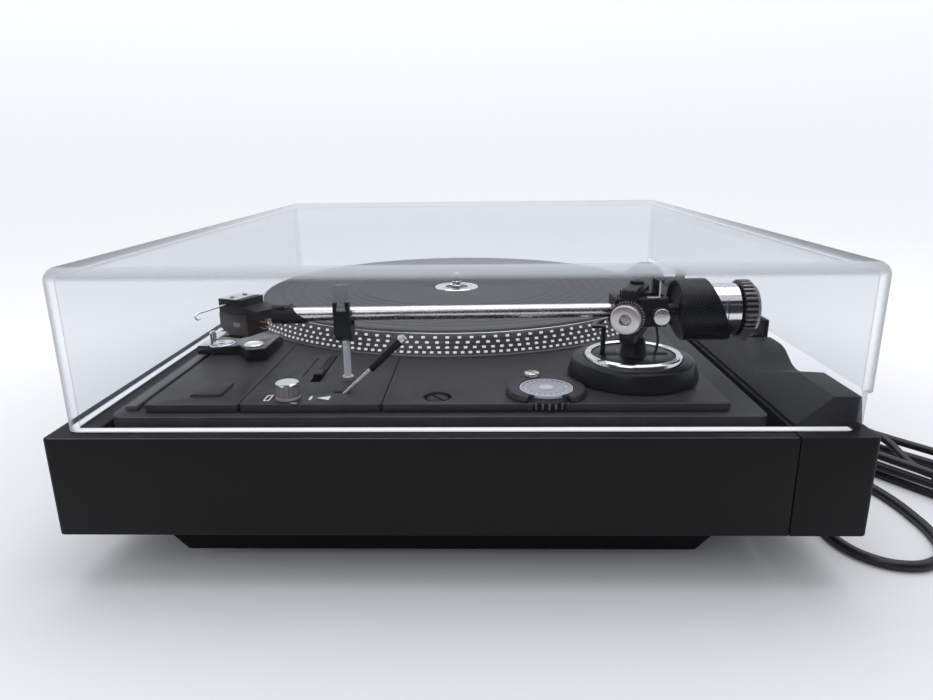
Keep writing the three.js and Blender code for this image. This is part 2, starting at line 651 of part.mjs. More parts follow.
piece(drive, 'hub_ring', turned([
  [HUB_RING.bore, matFoot],
  [HUB_RING.radius, matFoot],
  [HUB_RING.radius, HUB_RING.top - HUB_RING.chamfer],
  [HUB_RING.radius - HUB_RING.chamfer, HUB_RING.top],
  [HUB_RING.bore + HUB_RING.chamfer, HUB_RING.top],
  [HUB_RING.bore, HUB_RING.top - HUB_RING.chamfer],
], 24), 'chrome');

piece(drive, 'rotor_spindle', turned([
  [0, ROTOR.foot],
  [ROTOR.shaft, ROTOR.foot],
  [ROTOR.shaft, ROTOR.bottom],
  [ROTOR.radius, ROTOR.bottom],
  [ROTOR.radius, PLATTER.hubBottom - GAP],
  [ROTOR.spindle, PLATTER.hubBottom - GAP],
  [ROTOR.spindle, ROTOR.tip - ROTOR.spindle + ROTOR.tipRadius],
  [ROTOR.tipRadius, ROTOR.tip - ROTOR.tipRadius / 4],
  [0, ROTOR.tip],
], 20), 'chrome');

piece(drive, 'motor_housing', turned([
  [0, MOTOR.foot],
  [MOTOR.body, MOTOR.foot],
  [MOTOR.body, CHASSIS.top - CHASSIS.thick - GAP - MOTOR.flangeThick],
  [MOTOR.flange, CHASSIS.top - CHASSIS.thick - GAP - MOTOR.flangeThick],
  [MOTOR.flange, CHASSIS.top - CHASSIS.thick - GAP],
  [MOTOR.neck, CHASSIS.top - CHASSIS.thick - GAP],
  [MOTOR.neck, MOTOR.top - MOTOR.neckChamfer],
  [MOTOR.neck - MOTOR.neckChamfer, MOTOR.top],
  [MOTOR.bore, MOTOR.top],
  [MOTOR.bore, ROTOR.foot - GAP],
  [0, ROTOR.foot - GAP],
], 20), 'steel');

const transformer = () => {
  const panFloor = PAN.wall - PLINTH.height - PAN.drop + GAP;
  const top = panFloor + TRANSFORMER.height;
  const slack = (TRANSFORMER.height - TRANSFORMER.core) / 2;
  const core = slab(
    [-TRANSFORMER.width / 2, TRANSFORMER.width / 2],
    [-TRANSFORMER.core / 2, TRANSFORMER.core / 2],
    [panFloor, top],
  );
  const winding = prism(
    rounded(
      [-TRANSFORMER.coil / 2, TRANSFORMER.coil / 2],
      [-TRANSFORMER.depth / 2, TRANSFORMER.depth / 2],
      slack,
    ),
    panFloor + slack,
    top - slack,
  );
  return join(core, winding);
};
const transformerX = PAN.wall + TRANSFORMER.fromWall + (TRANSFORMER.width - PAN.width) / 2;
piece(deck, 'transformer', transformer(), 'steel').position.set(transformerX, TRANSFORMER.y, 0);

// Speed block on the front cover, with its lever and its round button.
const speedBlock = () => {
  const plan = [
    [BLOCK.left, BLOCK.front], [BLOCK.right, BLOCK.front], [BLOCK.right, BLOCK.step],
    [BLOCK.noseX, BLOCK.noseY], [BLOCK.cornerX, BLOCK.rear], [BLOCK.rearLeft, BLOCK.rear],
  ];
  const rise = BLOCK.top - BLOCK.low;
  const side = [
    [BLOCK.front - OVERRUN, ON_COVER], [BLOCK.rear + OVERRUN, ON_COVER], [BLOCK.rear + OVERRUN, BLOCK.top],
    [BLOCK.step + rise, BLOCK.top], [BLOCK.step - rise, BLOCK.low], [BLOCK.front - OVERRUN, BLOCK.low],
  ];
  return cut(
    common(prism(plan, ON_COVER, BLOCK.top), alongX(side, BLOCK.left - OVERRUN, BLOCK.noseX + OVERRUN)),
    pillar(SPEED_LEVER.well, BLOCK.low - SPEED_LEVER.wellDepth, BLOCK.top, SPEED_LEVER.x, SPEED_LEVER.y, 28),
    pillar(
      SPEED_BUTTON.well, SPEED_BUTTON.wellFloor, BLOCK.top + OVERRUN, SPEED_BUTTON.x, SPEED_BUTTON.y, 28,
    ),
  );
};

const speedLever = () => {
  const foot = BLOCK.low - SPEED_LEVER.wellDepth + GAP;
  const top = foot + SPEED_LEVER.thick;
  const fin = prism(
    sector(
      SPEED_LEVER.finInner,
      SPEED_LEVER.radius,
      -Math.PI / 2 - SPEED_LEVER.finHalf,
      -Math.PI / 2 + SPEED_LEVER.finHalf,
    ),
    foot,
    top + SPEED_LEVER.fin,
    8,
  );
  const arch = alongX([
    [-SPEED_LEVER.radius * 2, foot - OVERRUN], [0, foot - OVERRUN], [0, top],
    [-SPEED_LEVER.finInner, top + SPEED_LEVER.fin], [-SPEED_LEVER.radius * 2, top + SPEED_LEVER.fin],
  ], -SPEED_LEVER.radius, SPEED_LEVER.radius);
  const disc = turned([
    [0, foot],
    [SPEED_LEVER.radius, foot],
    [SPEED_LEVER.radius, top],
    [SPEED_LEVER.finInner, top],
    [SPEED_LEVER.boss, top - SPEED_LEVER.thick / 2],
    [SPEED_LEVER.boss, top],
    [0, top],
  ], 16);
  return join(disc, common(fin, arch));
};

const speedButton = () => turned([
  [0, SPEED_BUTTON.bottom],
  [SPEED_BUTTON.radius, SPEED_BUTTON.bottom],
  [SPEED_BUTTON.radius, SPEED_BUTTON.top - SPEED_BUTTON.edge],
  [SPEED_BUTTON.radius - SPEED_BUTTON.edge, SPEED_BUTTON.top],
  [0, SPEED_BUTTON.top],
], 28);

piece(deck, 'speed_block', speedBlock(), 'dark');
piece(deck, 'speed_lever', speedLever(), 'chrome').position.set(SPEED_LEVER.x, SPEED_LEVER.y, 0);
piece(deck, 'speed_button', speedButton(), 'satin').position.set(SPEED_BUTTON.x, SPEED_BUTTON.y, 0);

// Selector knob: fluted, on a thin skirt, with a pointer notch in its edge.
const selectorKnob = () => {
  const skirtTop = ON_COVER + SELECTOR.skirtThick;
  const crown = turned([
    [0, ON_COVER],
    [SELECTOR.skirt, ON_COVER],
    [SELECTOR.skirt, skirtTop],
    [SELECTOR.radius, skirtTop + SELECTOR.skirtThick],
    [SELECTOR.radius, SELECTOR.top - SELECTOR.crown],
    [SELECTOR.radius - SELECTOR.crown, SELECTOR.top],
    [0, SELECTOR.top],
  ], 16);
  const flutes = join(
    prism(
      knurled(SELECTOR.radius + OVERRUN, SELECTOR.flute + OVERRUN, SELECTOR.flutes),
      skirtTop + SELECTOR.skirtThick,
      SELECTOR.top,
    ),
    pillar(SELECTOR.skirt + OVERRUN, ON_COVER, skirtTop + SELECTOR.skirtThick, 0, 0, 8),
  );
  const notch = slab(
    [SELECTOR.radius / 2, SELECTOR.radius * 2],
    [-SELECTOR.notch / 2, SELECTOR.notch / 2],
    [(ON_COVER + SELECTOR.top) / 2, SELECTOR.top + OVERRUN],
  ).rotateZ(-Math.PI / 8);
  return join(
    cut(common(crown, flutes), notch),
    pillar(SELECTOR.shaft, DECK + GAP, ON_COVER + SELECTOR.skirtThick / 2, 0, 0, 16),
  );
};
piece(deck, 'selector_knob', selectorKnob(), 'satin').position.set(SELECTOR.x, SELECTOR.y, 0);

// Start slider: a bar in its channel with a raised grip at one end.
const startSlider = () => {
  const left = SLIDER.left + PLAY;
  const bar = [SLIDER.front + GAP, SLIDER.rear - GAP];
  const foot = DECK + GAP;
  const top = foot + SLIDER.thick;
  return join(
    slab([left, left + SLIDER.length], bar, [foot, top]),
    slab([left + SLIDER.length - SLIDER.grip, left + SLIDER.length], bar, [foot, top + SLIDER.gripRise]),
  );
};
piece(deck, 'start_slider', startSlider(), 'black');

// Cueing lever: a barrel on a pin under the cover, a thin rod, a grip and a round tip.
const cueLever = () => {
  const lean = degrees(CUE.lean);
  const along = (reach) => [0, reach * Math.sin(lean), reach * Math.cos(lean)];
  const half = CUE.barrelWidth / 2;
  const barrel = cut(
    rod([-half, 0, 0], [half, 0, 0], CUE.barrel, 16),
    rod([-CUE.barrelWidth, 0, 0], [CUE.barrelWidth, 0, 0], CUE.pin + GAP, 10),
  );
  return join(
    barrel,
    rod(along((CUE.pin + GAP + CUE.barrel) / 2), along(CUE.rodEnd + CUE.rod), CUE.rod, 10),
    rod(along(CUE.rodEnd), along(CUE.gripEnd), CUE.grip, 14),
    rod(along(CUE.gripEnd - CUE.tip), along(CUE.tipEnd), CUE.tip, 14),
  );
};
piece(deck, 'cue_lever', cueLever(), 'black').position.set(CUE.x, CUE.hingeY, CUE.hingeZ);

// Slotted screws
const slottedHead = ({ radius, bottom, top, edge, slot, slotDepth }) => cut(
  turned([[0, bottom], [radius, bottom], [radius, top - edge], [radius - edge, top], [0, top]], 20),
  slab([-radius * 2, radius * 2], [-slot / 2, slot / 2], [top - slotDepth, top + OVERRUN])
    .rotateZ(Math.PI / 5),
);
piece(deck, 'transport_screw', slottedHead({
  radius: TRANSIT.head, bottom: DECK, top: TRANSIT.headTop, edge: SCREW.edge,
  slot: TRANSIT.slot, slotDepth: TRANSIT.slotDepth,
}), 'steel').position.set(TRANSIT.x, TRANSIT.y, 0);
piece(deck, 'slotted_screw', slottedHead({
  radius: SCREW.radius, bottom: SKATE.bezelTop + GAP, top: SKATE.bezelTop + GAP + SCREW.height,
  edge: SCREW.edge,
  slot: SCREW.slot, slotDepth: SCREW.slotDepth,
}), 'steel').position.set(SCREW.x, SCREW.y, 0);

// Anti-skating: a thumb wheel under a bezel, with a clear dial in the bezel's window.
const skate = group(deck, SKATE.x, SKATE.y);

const skateBezel = () => cut(
  join(
    turned([
      [SKATE.window, ON_COVER],
      [SKATE.bezel, ON_COVER],
      [SKATE.bezelCrown, SKATE.bezelTop],
      [SKATE.window, SKATE.bezelTop],
    ], 28),
    pillar(SCREW.pad, ON_COVER, SKATE.bezelTop, SCREW.x - SKATE.x, SCREW.y - SKATE.y, 14),
  ),
  pillar(SKATE.pocket, 0, SKATE.roof, 0, 0, 28),
  pillar(SKATE.window, 0, SKATE.bezelTop + OVERRUN, 0, 0, 28),
  slab([SKATE.near - SKATE.x, SKATE.bezel * 2], [-SKATE.bezel, SKATE.bezel], [0, SKATE.bezelTop + OVERRUN]),
  slab([SKATE.notchX - SKATE.x, SKATE.bezel * 2], [-SKATE.notch, SKATE.notch], [0, SKATE.bezelTop + OVERRUN]),
);
piece(skate, 'antiskate_bezel', skateBezel(), 'cover');
piece(skate, 'antiskate_wheel', prism(
  knurled(SKATE.wheel, SKATE.tooth, SKATE.teeth), SKATE.wheelBottom, SKATE.wheelTop,
), 'black');
piece(skate, 'antiskate_disc', turned([
  [0, SKATE.wheelTop + GAP],
  [SKATE.disc, SKATE.wheelTop + GAP],
  [SKATE.disc, SKATE.discTop - SKATE.discEdge],
  [SKATE.disc - SKATE.discEdge, SKATE.discTop],
  [0, SKATE.discTop],
], 36), 'clear', 0.6);

// Arm rest: a post, a cradle with a deep notch, and a lock hinged on the cradle's outer ears.
const rest = group(deck, REST.x, REST.y);

piece(rest, 'rest_post', turned([
  [0, ON_COVER],
  [REST.foot, ON_COVER],
  [REST.foot, REST.footTop],
  [REST.post, REST.footTop],
  [REST.post, REST.top - GAP],
  [0, REST.top - GAP],
], 20), 'clear', 0.7);

const restClamp = () => {
  const tube = ARM.radius + PLAY;
  const wallX = tube + GAP;
  const mid = (REST.top + REST.notchFloor) / 2;
  const side = [
    [-REST.foot, REST.top], [REST.foot, REST.top], [REST.right, mid], [REST.right, REST.earTop],
    [wallX, REST.earTop], [wallX, REST.notchFloor], [-wallX + PLAY, REST.notchFloor], [-wallX, REST.lipTop],
    [REST.left, REST.lipTop], [REST.left, mid],
  ];
  const half = REST.width / 2;
  const body = alongY(side, -half, half);
  const forkFloor = REST.hingeZ - REST_LOCK.barrel - PLAY;
  const fork = slab(
    [wallX - OVERRUN, REST.right + OVERRUN],
    [REST.earThick - half, half - REST.earThick],
    [forkFloor, REST.earTop + OVERRUN],
  );
  const pin = rod(
    [REST.hingeX, -half + GAP, REST.hingeZ], [REST.hingeX, half - GAP, REST.hingeZ], REST.pin, 12,
  );
  return join(cut(body, fork), pin);
};
piece(rest, 'rest_clamp', restClamp(), 'black');

const restLock = () => {
  const narrow = slab(
    [-REST_LOCK.half, REST_LOCK.half], [-REST_LOCK.width / 2, REST_LOCK.width / 2], [0, REST_LOCK.length],
  );
  const wide = prism(
    rounded([-REST_LOCK.wide / 2, REST_LOCK.wide / 2], [REST_LOCK.shoulder, REST_LOCK.length], REST_LOCK.half),
    -REST_LOCK.half,
    REST_LOCK.half,
  ).applyMatrix4(frame(Y, Z, X));
  const barrel = rod([0, -REST_LOCK.width / 2, 0], [0, REST_LOCK.width / 2, 0], REST_LOCK.barrel, 16);
  const bore = rod([0, -REST_LOCK.width, 0], [0, REST_LOCK.width, 0], REST.pin + GAP, 12);
  return cut(join(narrow, wide, barrel), bore);
};
piece(rest, 'rest_lock', restLock(), 'black').position.set(REST.hingeX, 0, REST.hingeZ);

// Arm base: a conical ring, a height ring in it, and the turret that the height ring lifts.
const base = group(deck, PIVOT.x, PIVOT.y);

piece(base, 'arm_base', turned([
  [BASE.hole, ON_COVER],
  [BASE.radius, ON_COVER],
  [BASE.radius, ON_COVER + BASE.radius - BASE.crown],
  [BASE.crown, BASE.shoulder],
  [BASE.crown - BASE.top + BASE.shoulder, BASE.top],
  [BASE.bore, BASE.boreTop],
  [BASE.bore, BASE.floor],
  [BASE.hole, BASE.floor],
], 28), 'black');

const heightRing = () => {
  const { radius, bore, bottom, top, chamfer, mark } = HEIGHT_RING;
  const ring = turned([
    [bore, bottom], [radius, bottom], [radius, top - chamfer], [radius - chamfer, top], [bore + chamfer, top],
    [bore, top - chamfer],
  ], 28);
  const marks = Array.from({ length: HEIGHT_RING.marks }, (_, i) => slab(
    [bore - OVERRUN, radius + OVERRUN], [-mark / 2, mark / 2], [top - mark, top + OVERRUN],
  ).rotateZ(((i + 0.5) / HEIGHT_RING.marks) * 2 * Math.PI));
  return cut(ring, ...marks);
};
piece(base, 'height_ring', heightRing(), 'chrome');

const turretPlate = () => {
  const body = turned([
    [0, TURRET.foot],
    [TURRET.hub, TURRET.foot],
    [TURRET.hub, TURRET.bottom],
    [TURRET.radius, TURRET.bottom],
    [TURRET.radius, TURRET.top],
    [TURRET.column, TURRET.top],
    [TURRET.neck, TURRET.neckTop],
    [TURRET.bore, TURRET.neckTop],
    [TURRET.bore, TURRET.neckTop - TURRET.boreDepth],
    [0, TURRET.neckTop - TURRET.boreDepth],
  ], 24);
  const slots = [0, Math.PI].map((turn) => slab(
    [-TURRET.slotWidth / 2, TURRET.slotWidth / 2],
    [-TURRET.slotFar, -TURRET.hub - GAP],
    [TURRET.bottom - OVERRUN, TURRET.top + OVERRUN],
  ).rotateZ(turn));
  return cut(body, ...slots);
};
piece(base, 'turret_plate', turretPlate(), 'black');

// Lift bar: a post through the turret's front slot and an arc under the tube's whole sweep.
const liftBar = () => {
  const top = PIVOT.z - ARM.radius - LIFT.below;
  const foot = top - LIFT.thick;
  const start = degrees(LIFT.to);
  const end = degrees(LIFT.from);
  const arc = prism(sector(LIFT.inner, LIFT.outer, start, end), foot, top, 14);
  const web = slab([-LIFT.post, LIFT.post], [-LIFT.outer, -LIFT.reach], [foot, top])
    .rotateZ(degrees(LIFT.from + 90 - LIFT.post));
  return join(arc, web, pillar(LIFT.post, LIFT.foot, top, 0, -LIFT.reach, 14));
};
piece(base, 'lift_bar', liftBar(), 'black');

// Gimbal: a ring on a vertical shaft, set across the offset bearing axis, with a scale boss.
const bearing = group(deck, PIVOT.x, PIVOT.y, PIVOT.z);
const gimbal = group(bearing, 0, 0, 0, GIMBAL.turn);

const gimbalFrame = () => {
  const half = GIMBAL.depth / 2;
  const ring = cut(
    alongY(
      rounded([-GIMBAL.outer, GIMBAL.outer], [-GIMBAL.height, GIMBAL.height], GIMBAL.corner),
      -half,
      half,
      2,
    ),
    alongY(
      rounded([-GIMBAL.inner, GIMBAL.inner], [-GIMBAL.innerHeight, GIMBAL.innerHeight], GIMBAL.corner / 2),
      -GIMBAL.depth,
      GIMBAL.depth,
      2,
    ),
  );
  const boss = aim(pillar(GIMBAL.scale, GIMBAL.scaleStart, GIMBAL.scaleFace, 0, 0, 22), X);
  const bore = rod(
    [-GIMBAL.trunnionEnd - GAP, 0, 0], [GIMBAL.trunnionEnd + GAP, 0, 0], GIMBAL.trunnion + GAP, 12,
  );
  const shaft = pillar(GIMBAL.shaft, -GIMBAL.height - GIMBAL.shaftLength, -GIMBAL.innerHeight - GAP, 0, 0, 12);
  return join(cut(join(ring, boss), bore), shaft);
};
piece(gimbal, 'gimbal_frame', gimbalFrame(), 'dark');

const forceDial = () => {
  const body = common(
    prism(knurled(DIAL.radius, DIAL.tooth, DIAL.teeth), DIAL.start, DIAL.face),
    turned([
      [0, DIAL.start], [DIAL.radius, DIAL.start], [DIAL.radius, DIAL.face - DIAL.edge],
      [DIAL.radius - DIAL.edge, DIAL.face], [0, DIAL.face],
    ], 22),
  );
  const recess = pillar(DIAL.screw, DIAL.face - DIAL.screwDepth, DIAL.face + OVERRUN, 0, 0, 20);
  const slot = slab(
    [-DIAL.screw, DIAL.screw], [-DIAL.slot / 2, DIAL.slot / 2],
    [DIAL.face - DIAL.screwDepth * 2, DIAL.face],
  ).rotateZ(-Math.PI / 9);
  return aim(toGeometry(cut(body, recess, slot)), X);
};
piece(gimbal, 'force_dial', forceDial(), 'satin');

// Arm: everything that tilts in the gimbal, built along Y with the pivot at the origin.
const arm = group(bearing, 0, 0, 0, ARM.turn);

const armCradle = () => {
  const half = CRADLE.half;
  const body = alongY(rounded([-half, half], [-half, half], CRADLE.corner), CRADLE.front, CRADLE.rear, 4);
  const crest = alongX([
    [CRADLE.front, half - GAP], [CRADLE.rear, half - GAP],
    [CRADLE.rear - CRADLE.crest, half + CRADLE.crest / 2],
    [CRADLE.front + 2 * CRADLE.crest, half + CRADLE.crest / 2],
  ], -CRADLE.crestHalf, CRADLE.crestHalf);
  const trunnions = rod([-GIMBAL.trunnionEnd, 0, 0], [GIMBAL.trunnionEnd, 0, 0], GIMBAL.trunnion, 12)
    .rotateZ(degrees(GIMBAL.turn - ARM.turn));
  return cut(
    join(body, crest, trunnions),
    rod([0, CRADLE.front - OVERRUN, 0], [0, -CRADLE.socket, 0], ARM.radius + GAP, 16),
    rod([0, CRADLE.socket, 0], [0, CRADLE.rear + OVERRUN, 0], HOUSING.stub + GAP, 12),
    rod([CRADLE.half - LOCK_KNOB.radius / 2, LOCK_KNOB.y, LOCK_KNOB.z], [2 * half, LOCK_KNOB.y, LOCK_KNOB.z],
      LOCK_KNOB.radius / 3 + GAP, 12),
  );
};
piece(arm, 'arm_cradle', armCradle(), 'dark');

piece(arm, 'arm_tube', aim(turned([
  [ARM.bore, ARM.front],
  [ARM.radius, ARM.front],
  [ARM.radius, ARM.rear],
  [ARM.bore, ARM.rear],
], 18), Y), 'satin');

const lockKnob = () => {
  const reach = LOCK_KNOB.x - CRADLE.half;
  const body = common(
    prism(knurled(LOCK_KNOB.radius, LOCK_KNOB.tooth, LOCK_KNOB.teeth), LOCK_KNOB.x, LOCK_KNOB.face),
    turned([
      [0, LOCK_KNOB.x], [LOCK_KNOB.radius, LOCK_KNOB.x], [LOCK_KNOB.radius, LOCK_KNOB.face - LOCK_KNOB.edge],
      [LOCK_KNOB.radius - LOCK_KNOB.edge, LOCK_KNOB.face], [0, LOCK_KNOB.face],
    ], 16),
  );
  const stem = pillar(LOCK_KNOB.radius / 3, CRADLE.half - reach, LOCK_KNOB.x + reach, 0, 0, 12);
  return aim(toGeometry(join(body, stem)), X);
};
piece(arm, 'lock_knob', lockKnob(), 'satin').position.set(0, LOCK_KNOB.y, LOCK_KNOB.z);

// Headshell: a sleeve with a slanted mouth, a flat head turned inwards, and a finger lift.
const headshell = () => {
  const bore = ARM.radius + GAP;
  const mouth = HEAD.sleeve + OVERRUN;
  const sleeve = cut(
    rod([0, HEAD.sleeveFront, 0], [0, HEAD.cutBottom + OVERRUN, 0], HEAD.sleeve, 18),
    rod([0, ARM.front - GAP, 0], [0, HEAD.cutBottom + 2 * OVERRUN, 0], bore, 18),
    alongX([
      [HEAD.cutTop, mouth], [HEAD.cutBottom, -mouth], [HEAD.cutBottom + 2 * mouth, -mouth],
      [HEAD.cutBottom + 2 * mouth, mouth],
    ], -mouth, mouth),
  );
  const plan = prism([
    [-HEAD.neckHalf, 0], [-HEAD.neckHalf, -HEAD.neckHalf], [-HEAD.half, HEAD.shoulder],
    [-HEAD.half, HEAD.front], [HEAD.half, HEAD.front], [HEAD.half, HEAD.shoulder],
    [HEAD.neckHalf, -HEAD.neckHalf], [HEAD.neckHalf, 0],
  ], -HEAD.sleeve, HEAD.sleeve * 2);
  const dip = HEAD.plateRise * 0.7;
  const side = alongX([
    [0, -HEAD.neckHalf], [HEAD.shoulder / 2, -dip], [HEAD.shoulder, HEAD.sole], [HEAD.front, HEAD.sole],
    [HEAD.front, HEAD.plateStep + HEAD.plateRise], [HEAD.plateStart, HEAD.plateStep + HEAD.plateRise],
    [HEAD.plateStart, HEAD.plateStep - HEAD.plateRise / 2], [HEAD.shoulder, dip], [0, HEAD.neckHalf],
  ], -HEAD.half, HEAD.half);
  const span = FINGER.end - FINGER.start;
  const upper = (u) => FINGER.height - FINGER.sag * Math.sin((Math.PI * (u - FINGER.start)) / span);
  const reach = Array.from({ length: 9 }, (_, i) => FINGER.start + (span * i) / 8);
  const lip = [FINGER.end, upper(FINGER.end) + FINGER.hook];
  const strip = alongY([
    ...reach.map((u) => [u, upper(u) - FINGER.thick]),
    [lip[0] + FINGER.thick, upper(FINGER.end)], [lip[0] + FINGER.thick, lip[1]], lip,
    ...reach.toReversed().map((u) => [u, upper(u)]),
  ], FINGER.v - FINGER.width / 2, FINGER.v + FINGER.width / 2);
  const head = toGeometry(join(common(plan, side), strip))
    .rotateZ(degrees(HEAD.turn))
    .translate(0, HEAD.y, 0);
  return cut(join(sleeve, head), rod([0, ARM.front - GAP, 0], [0, HEAD.cutBottom + OVERRUN, 0], bore, 18));
};
piece(arm, 'headshell', headshell(), 'dark');

const head = group(arm, 0, HEAD.y, 0, HEAD.turn);

const cartridge = () => {
  const body = alongX([
    [CARTRIDGE.rear, CARTRIDGE.top], [CARTRIDGE.rear, CARTRIDGE.bottom], [CARTRIDGE.chin, CARTRIDGE.bottom],
    [CARTRIDGE.front, CARTRIDGE.nose], [CARTRIDGE.front, CARTRIDGE.top],
  ], -CARTRIDGE.half, CARTRIDGE.half);
  const middle = (CARTRIDGE.top + CARTRIDGE.bottom) / 2;
  const offset = CARTRIDGE.pinPitch / 2;
  const places = [[-offset, -offset], [offset, -offset], [-offset, offset], [offset, offset]];
  const pins = places.map(([u, z]) => rod(
    [u, CARTRIDGE.rear - OVERRUN, middle + z],
    [u, CARTRIDGE.rear + CARTRIDGE.pinLength, middle + z],
    CARTRIDGE.pin,
    6,
  ));
  return join(body, ...pins);
};
piece(head, 'cartridge', cartridge(), 'black');

const stylus = () => {
  const body = alongX([
    [STYLUS.rear, STYLUS.top], [STYLUS.rear, STYLUS.bottom], [STYLUS.front, STYLUS.bottom],
    [CARTRIDGE.chin - PLAY, STYLUS.top],
  ], -STYLUS.half, STYLUS.half);
  const root = [0, STYLUS.front + STYLUS.half / 2, STYLUS.bottom + STYLUS.cantilever / 2];
  return join(body, rod(root, [0, STYLUS.tipV, STYLUS.tipZ], STYLUS.cantilever, 8));
};
piece(head, 'stylus', stylus(), 'black');

// Balance: a housing with a slanted mouth, the sliding bush, the weight and its grip ring.
const weightHousing = () => {
  const { radius, bore } = HOUSING;
  const shell = aim(turned([
    [0, HOUSING.front + HOUSING.recessDepth],
    [HOUSING.recess, HOUSING.front + HOUSING.recessDepth],
    [radius - HOUSING.recessDepth / 2, HOUSING.front],
    [radius, HOUSING.front + HOUSING.recessDepth],
    [radius, HOUSING.cutBottom + OVERRUN],
    [bore, HOUSING.cutBottom + OVERRUN],
    [bore, HOUSING.disc],
    [0, HOUSING.disc],
  ], 24), Y);
  const high = radius + OVERRUN;
  const mouth = alongX([
    [HOUSING.cutTop, high], [HOUSING.cutBottom, -high], [HOUSING.cutBottom + high, -high],
    [HOUSING.cutBottom + high, high],
  ], -high, high);
  const chin = alongX([
    [HOUSING.front - OVERRUN, HOUSING.chinFrom], [HOUSING.front, HOUSING.chinFrom],
    [HOUSING.front + HOUSING.chinBack, -high], [HOUSING.front - OVERRUN, -high],
  ], -high, high);
  return join(
    cut(shell, mouth, chin),
    rod([0, HOUSING.stubFront, 0], [0, HOUSING.stubEnd, 0], HOUSING.stub, 20),
  );
};
piece(arm, 'weight_housing', weightHousing(), 'black');

const sleeve = (inner, outer, from, to, edge = 0) => aim(turned([
  [inner, from],
  ...(edge > 0
    ? [[outer - edge, from], [outer, from + edge], [outer, to - edge], [outer - edge, to]]
    : [[outer, from], [outer, to]]),
  [inner, to],
], 24), Y);
piece(arm, 'weight_bush', sleeve(HOUSING.stub + GAP, BUSH.radius, BUSH.front, BUSH.rear), 'steel');

piece(arm, 'counterweight', sleeve(
  BUSH.radius + GAP, WEIGHT.radius, WEIGHT.front, WEIGHT.rear, WEIGHT.edge,
), 'chrome');

const gripRing = () => {
  const front = GRIP.front;
  const teeth = prism(knurled(GRIP.radius, GRIP.tooth, GRIP.teeth, COG), front, GRIP.rear);
  const envelope = turned([
    [HOUSING.stub + GAP, front + GRIP.tooth],
    [HOUSING.stub + GAP, front],
    [GRIP.radius, front],
    [GRIP.radius, GRIP.plainFrom],
    [GRIP.end, GRIP.rear],
    [0, GRIP.rear],
    [0, front + GRIP.tooth],
  ], 40);
  return aim(toGeometry(common(teeth, envelope)), Y);
};
piece(arm, 'weight_grip_ring', gripRing(), 'black');

// Leads: each leaves through a tapered relief, crosses the floor and is put away in a winding.
const rearFace = PLINTH.depth / 2;

const strainRelief = (lead) => aim(turned([
  [0, -RELIEF_INSIDE],
  [lead.reliefRadius, -RELIEF_INSIDE],
  [lead.reliefRadius, GAP],
  [lead.collar, GAP],
  [lead.collar, GAP + COLLAR_THICK],
  [lead.reliefRadius, GAP + COLLAR_THICK],
  [lead.diameter * TIP_SHARE, GAP + lead.relief],
  [0, GAP + lead.relief],
], 12), Y);

const alongPath = (points) => new THREE.CatmullRomCurve3(
  points.map((point) => new THREE.Vector3(...point)), false, 'centripetal',
);

const tube = (path, diameter, sides, steps) => new THREE.ExtrudeGeometry(
  outline(Array.from({ length: sides }, (_, i) => {
    const angle = ((i + 0.5) / sides) * 2 * Math.PI;
    return [(diameter / 2) * Math.cos(angle), (diameter / 2) * Math.sin(angle)];
  })),
  { steps, bevelEnabled: false, extrudePath: path },
);

// Where a lead's centre lies when it rests on the floor.
const resting = (lead) => FLOOR + lead.diameter / 2;

// Turns of a winding, to the right of its heading: in from the outside on the floor, then out and in
// by turns, up a layer in each half turn where the spiral reverses. A run of zero makes a round coil.
const STEPS = 24;
const CLIMB = 0.5;
const windingPoints = (lead, winding) => {
  const pitch = lead.diameter + winding.spacing;
  const heading = degrees(winding.heading);
  const ahead = new THREE.Vector2(Math.cos(heading), Math.sin(heading));
  const left = new THREE.Vector2(-ahead.y, ahead.x);
  const half = winding.run / 2;
  const runSteps = half > 0 ? STEPS / 6 : 0;
  const bendSteps = STEPS / 2 - runSteps;
  const place = (a, b, z) => [
    winding.x + a * ahead.x + b * left.x,
    winding.y + a * ahead.y + b * left.y,
    z,
  ];
  const { layers, layerTurns } = winding;
  const reversals = Array.from({ length: layers - 1 }, (_, i) => (i + 1) * layerTurns);
  return Array.from({ length: STEPS * layers * layerTurns + 1 }, (_, k) => {
    const turn = k / STEPS;
    const inward = turn % (2 * layerTurns);
    const radius = winding.outer - pitch * Math.min(inward, 2 * layerTurns - inward);
    const climb = reversals.reduce(
      (sum, at) => sum + THREE.MathUtils.smoothstep(turn, at - CLIMB / 2, at + CLIMB / 2),
      0,
    );
    const z = resting(lead) + pitch * climb;
    const step = k % STEPS;
    const side = step < STEPS / 2 ? 1 : -1;
    const into = step % (STEPS / 2);
    if (into < runSteps) return place(side * (-half + (winding.run * into) / runSteps), side * radius, z);
    const angle = Math.PI / 2 - (Math.PI * (into - runSteps)) / bendSteps;
    return place(side * (half + radius * Math.cos(angle)), side * radius * Math.sin(angle), z);
  });
};

const ahead = (point, heading, distance, rise = 0) => [
  point[0] + distance * Math.cos(degrees(heading)),
  point[1] + distance * Math.sin(degrees(heading)),
  point[2] + rise,
];

// The least gap of a tube to itself, on points a quarter of its diameter apart.
const reportGap = (name, path, diameter) => {
  const points = path.getSpacedPoints(Math.ceil((4 * path.getLength()) / diameter));
  const apart = 4 * 4;
  let least = Infinity;
  for (let i = 0; i < points.length; i += 1) {
    for (let j = i + apart; j < points.length; j += 1) {
      least = Math.min(least, points[i].distanceTo(points[j]));
    }
  }
  console.log(`${name}: ${path.getLength().toFixed(0)} mm long, least gap ${(least - diameter).toFixed(2)} mm`);
};

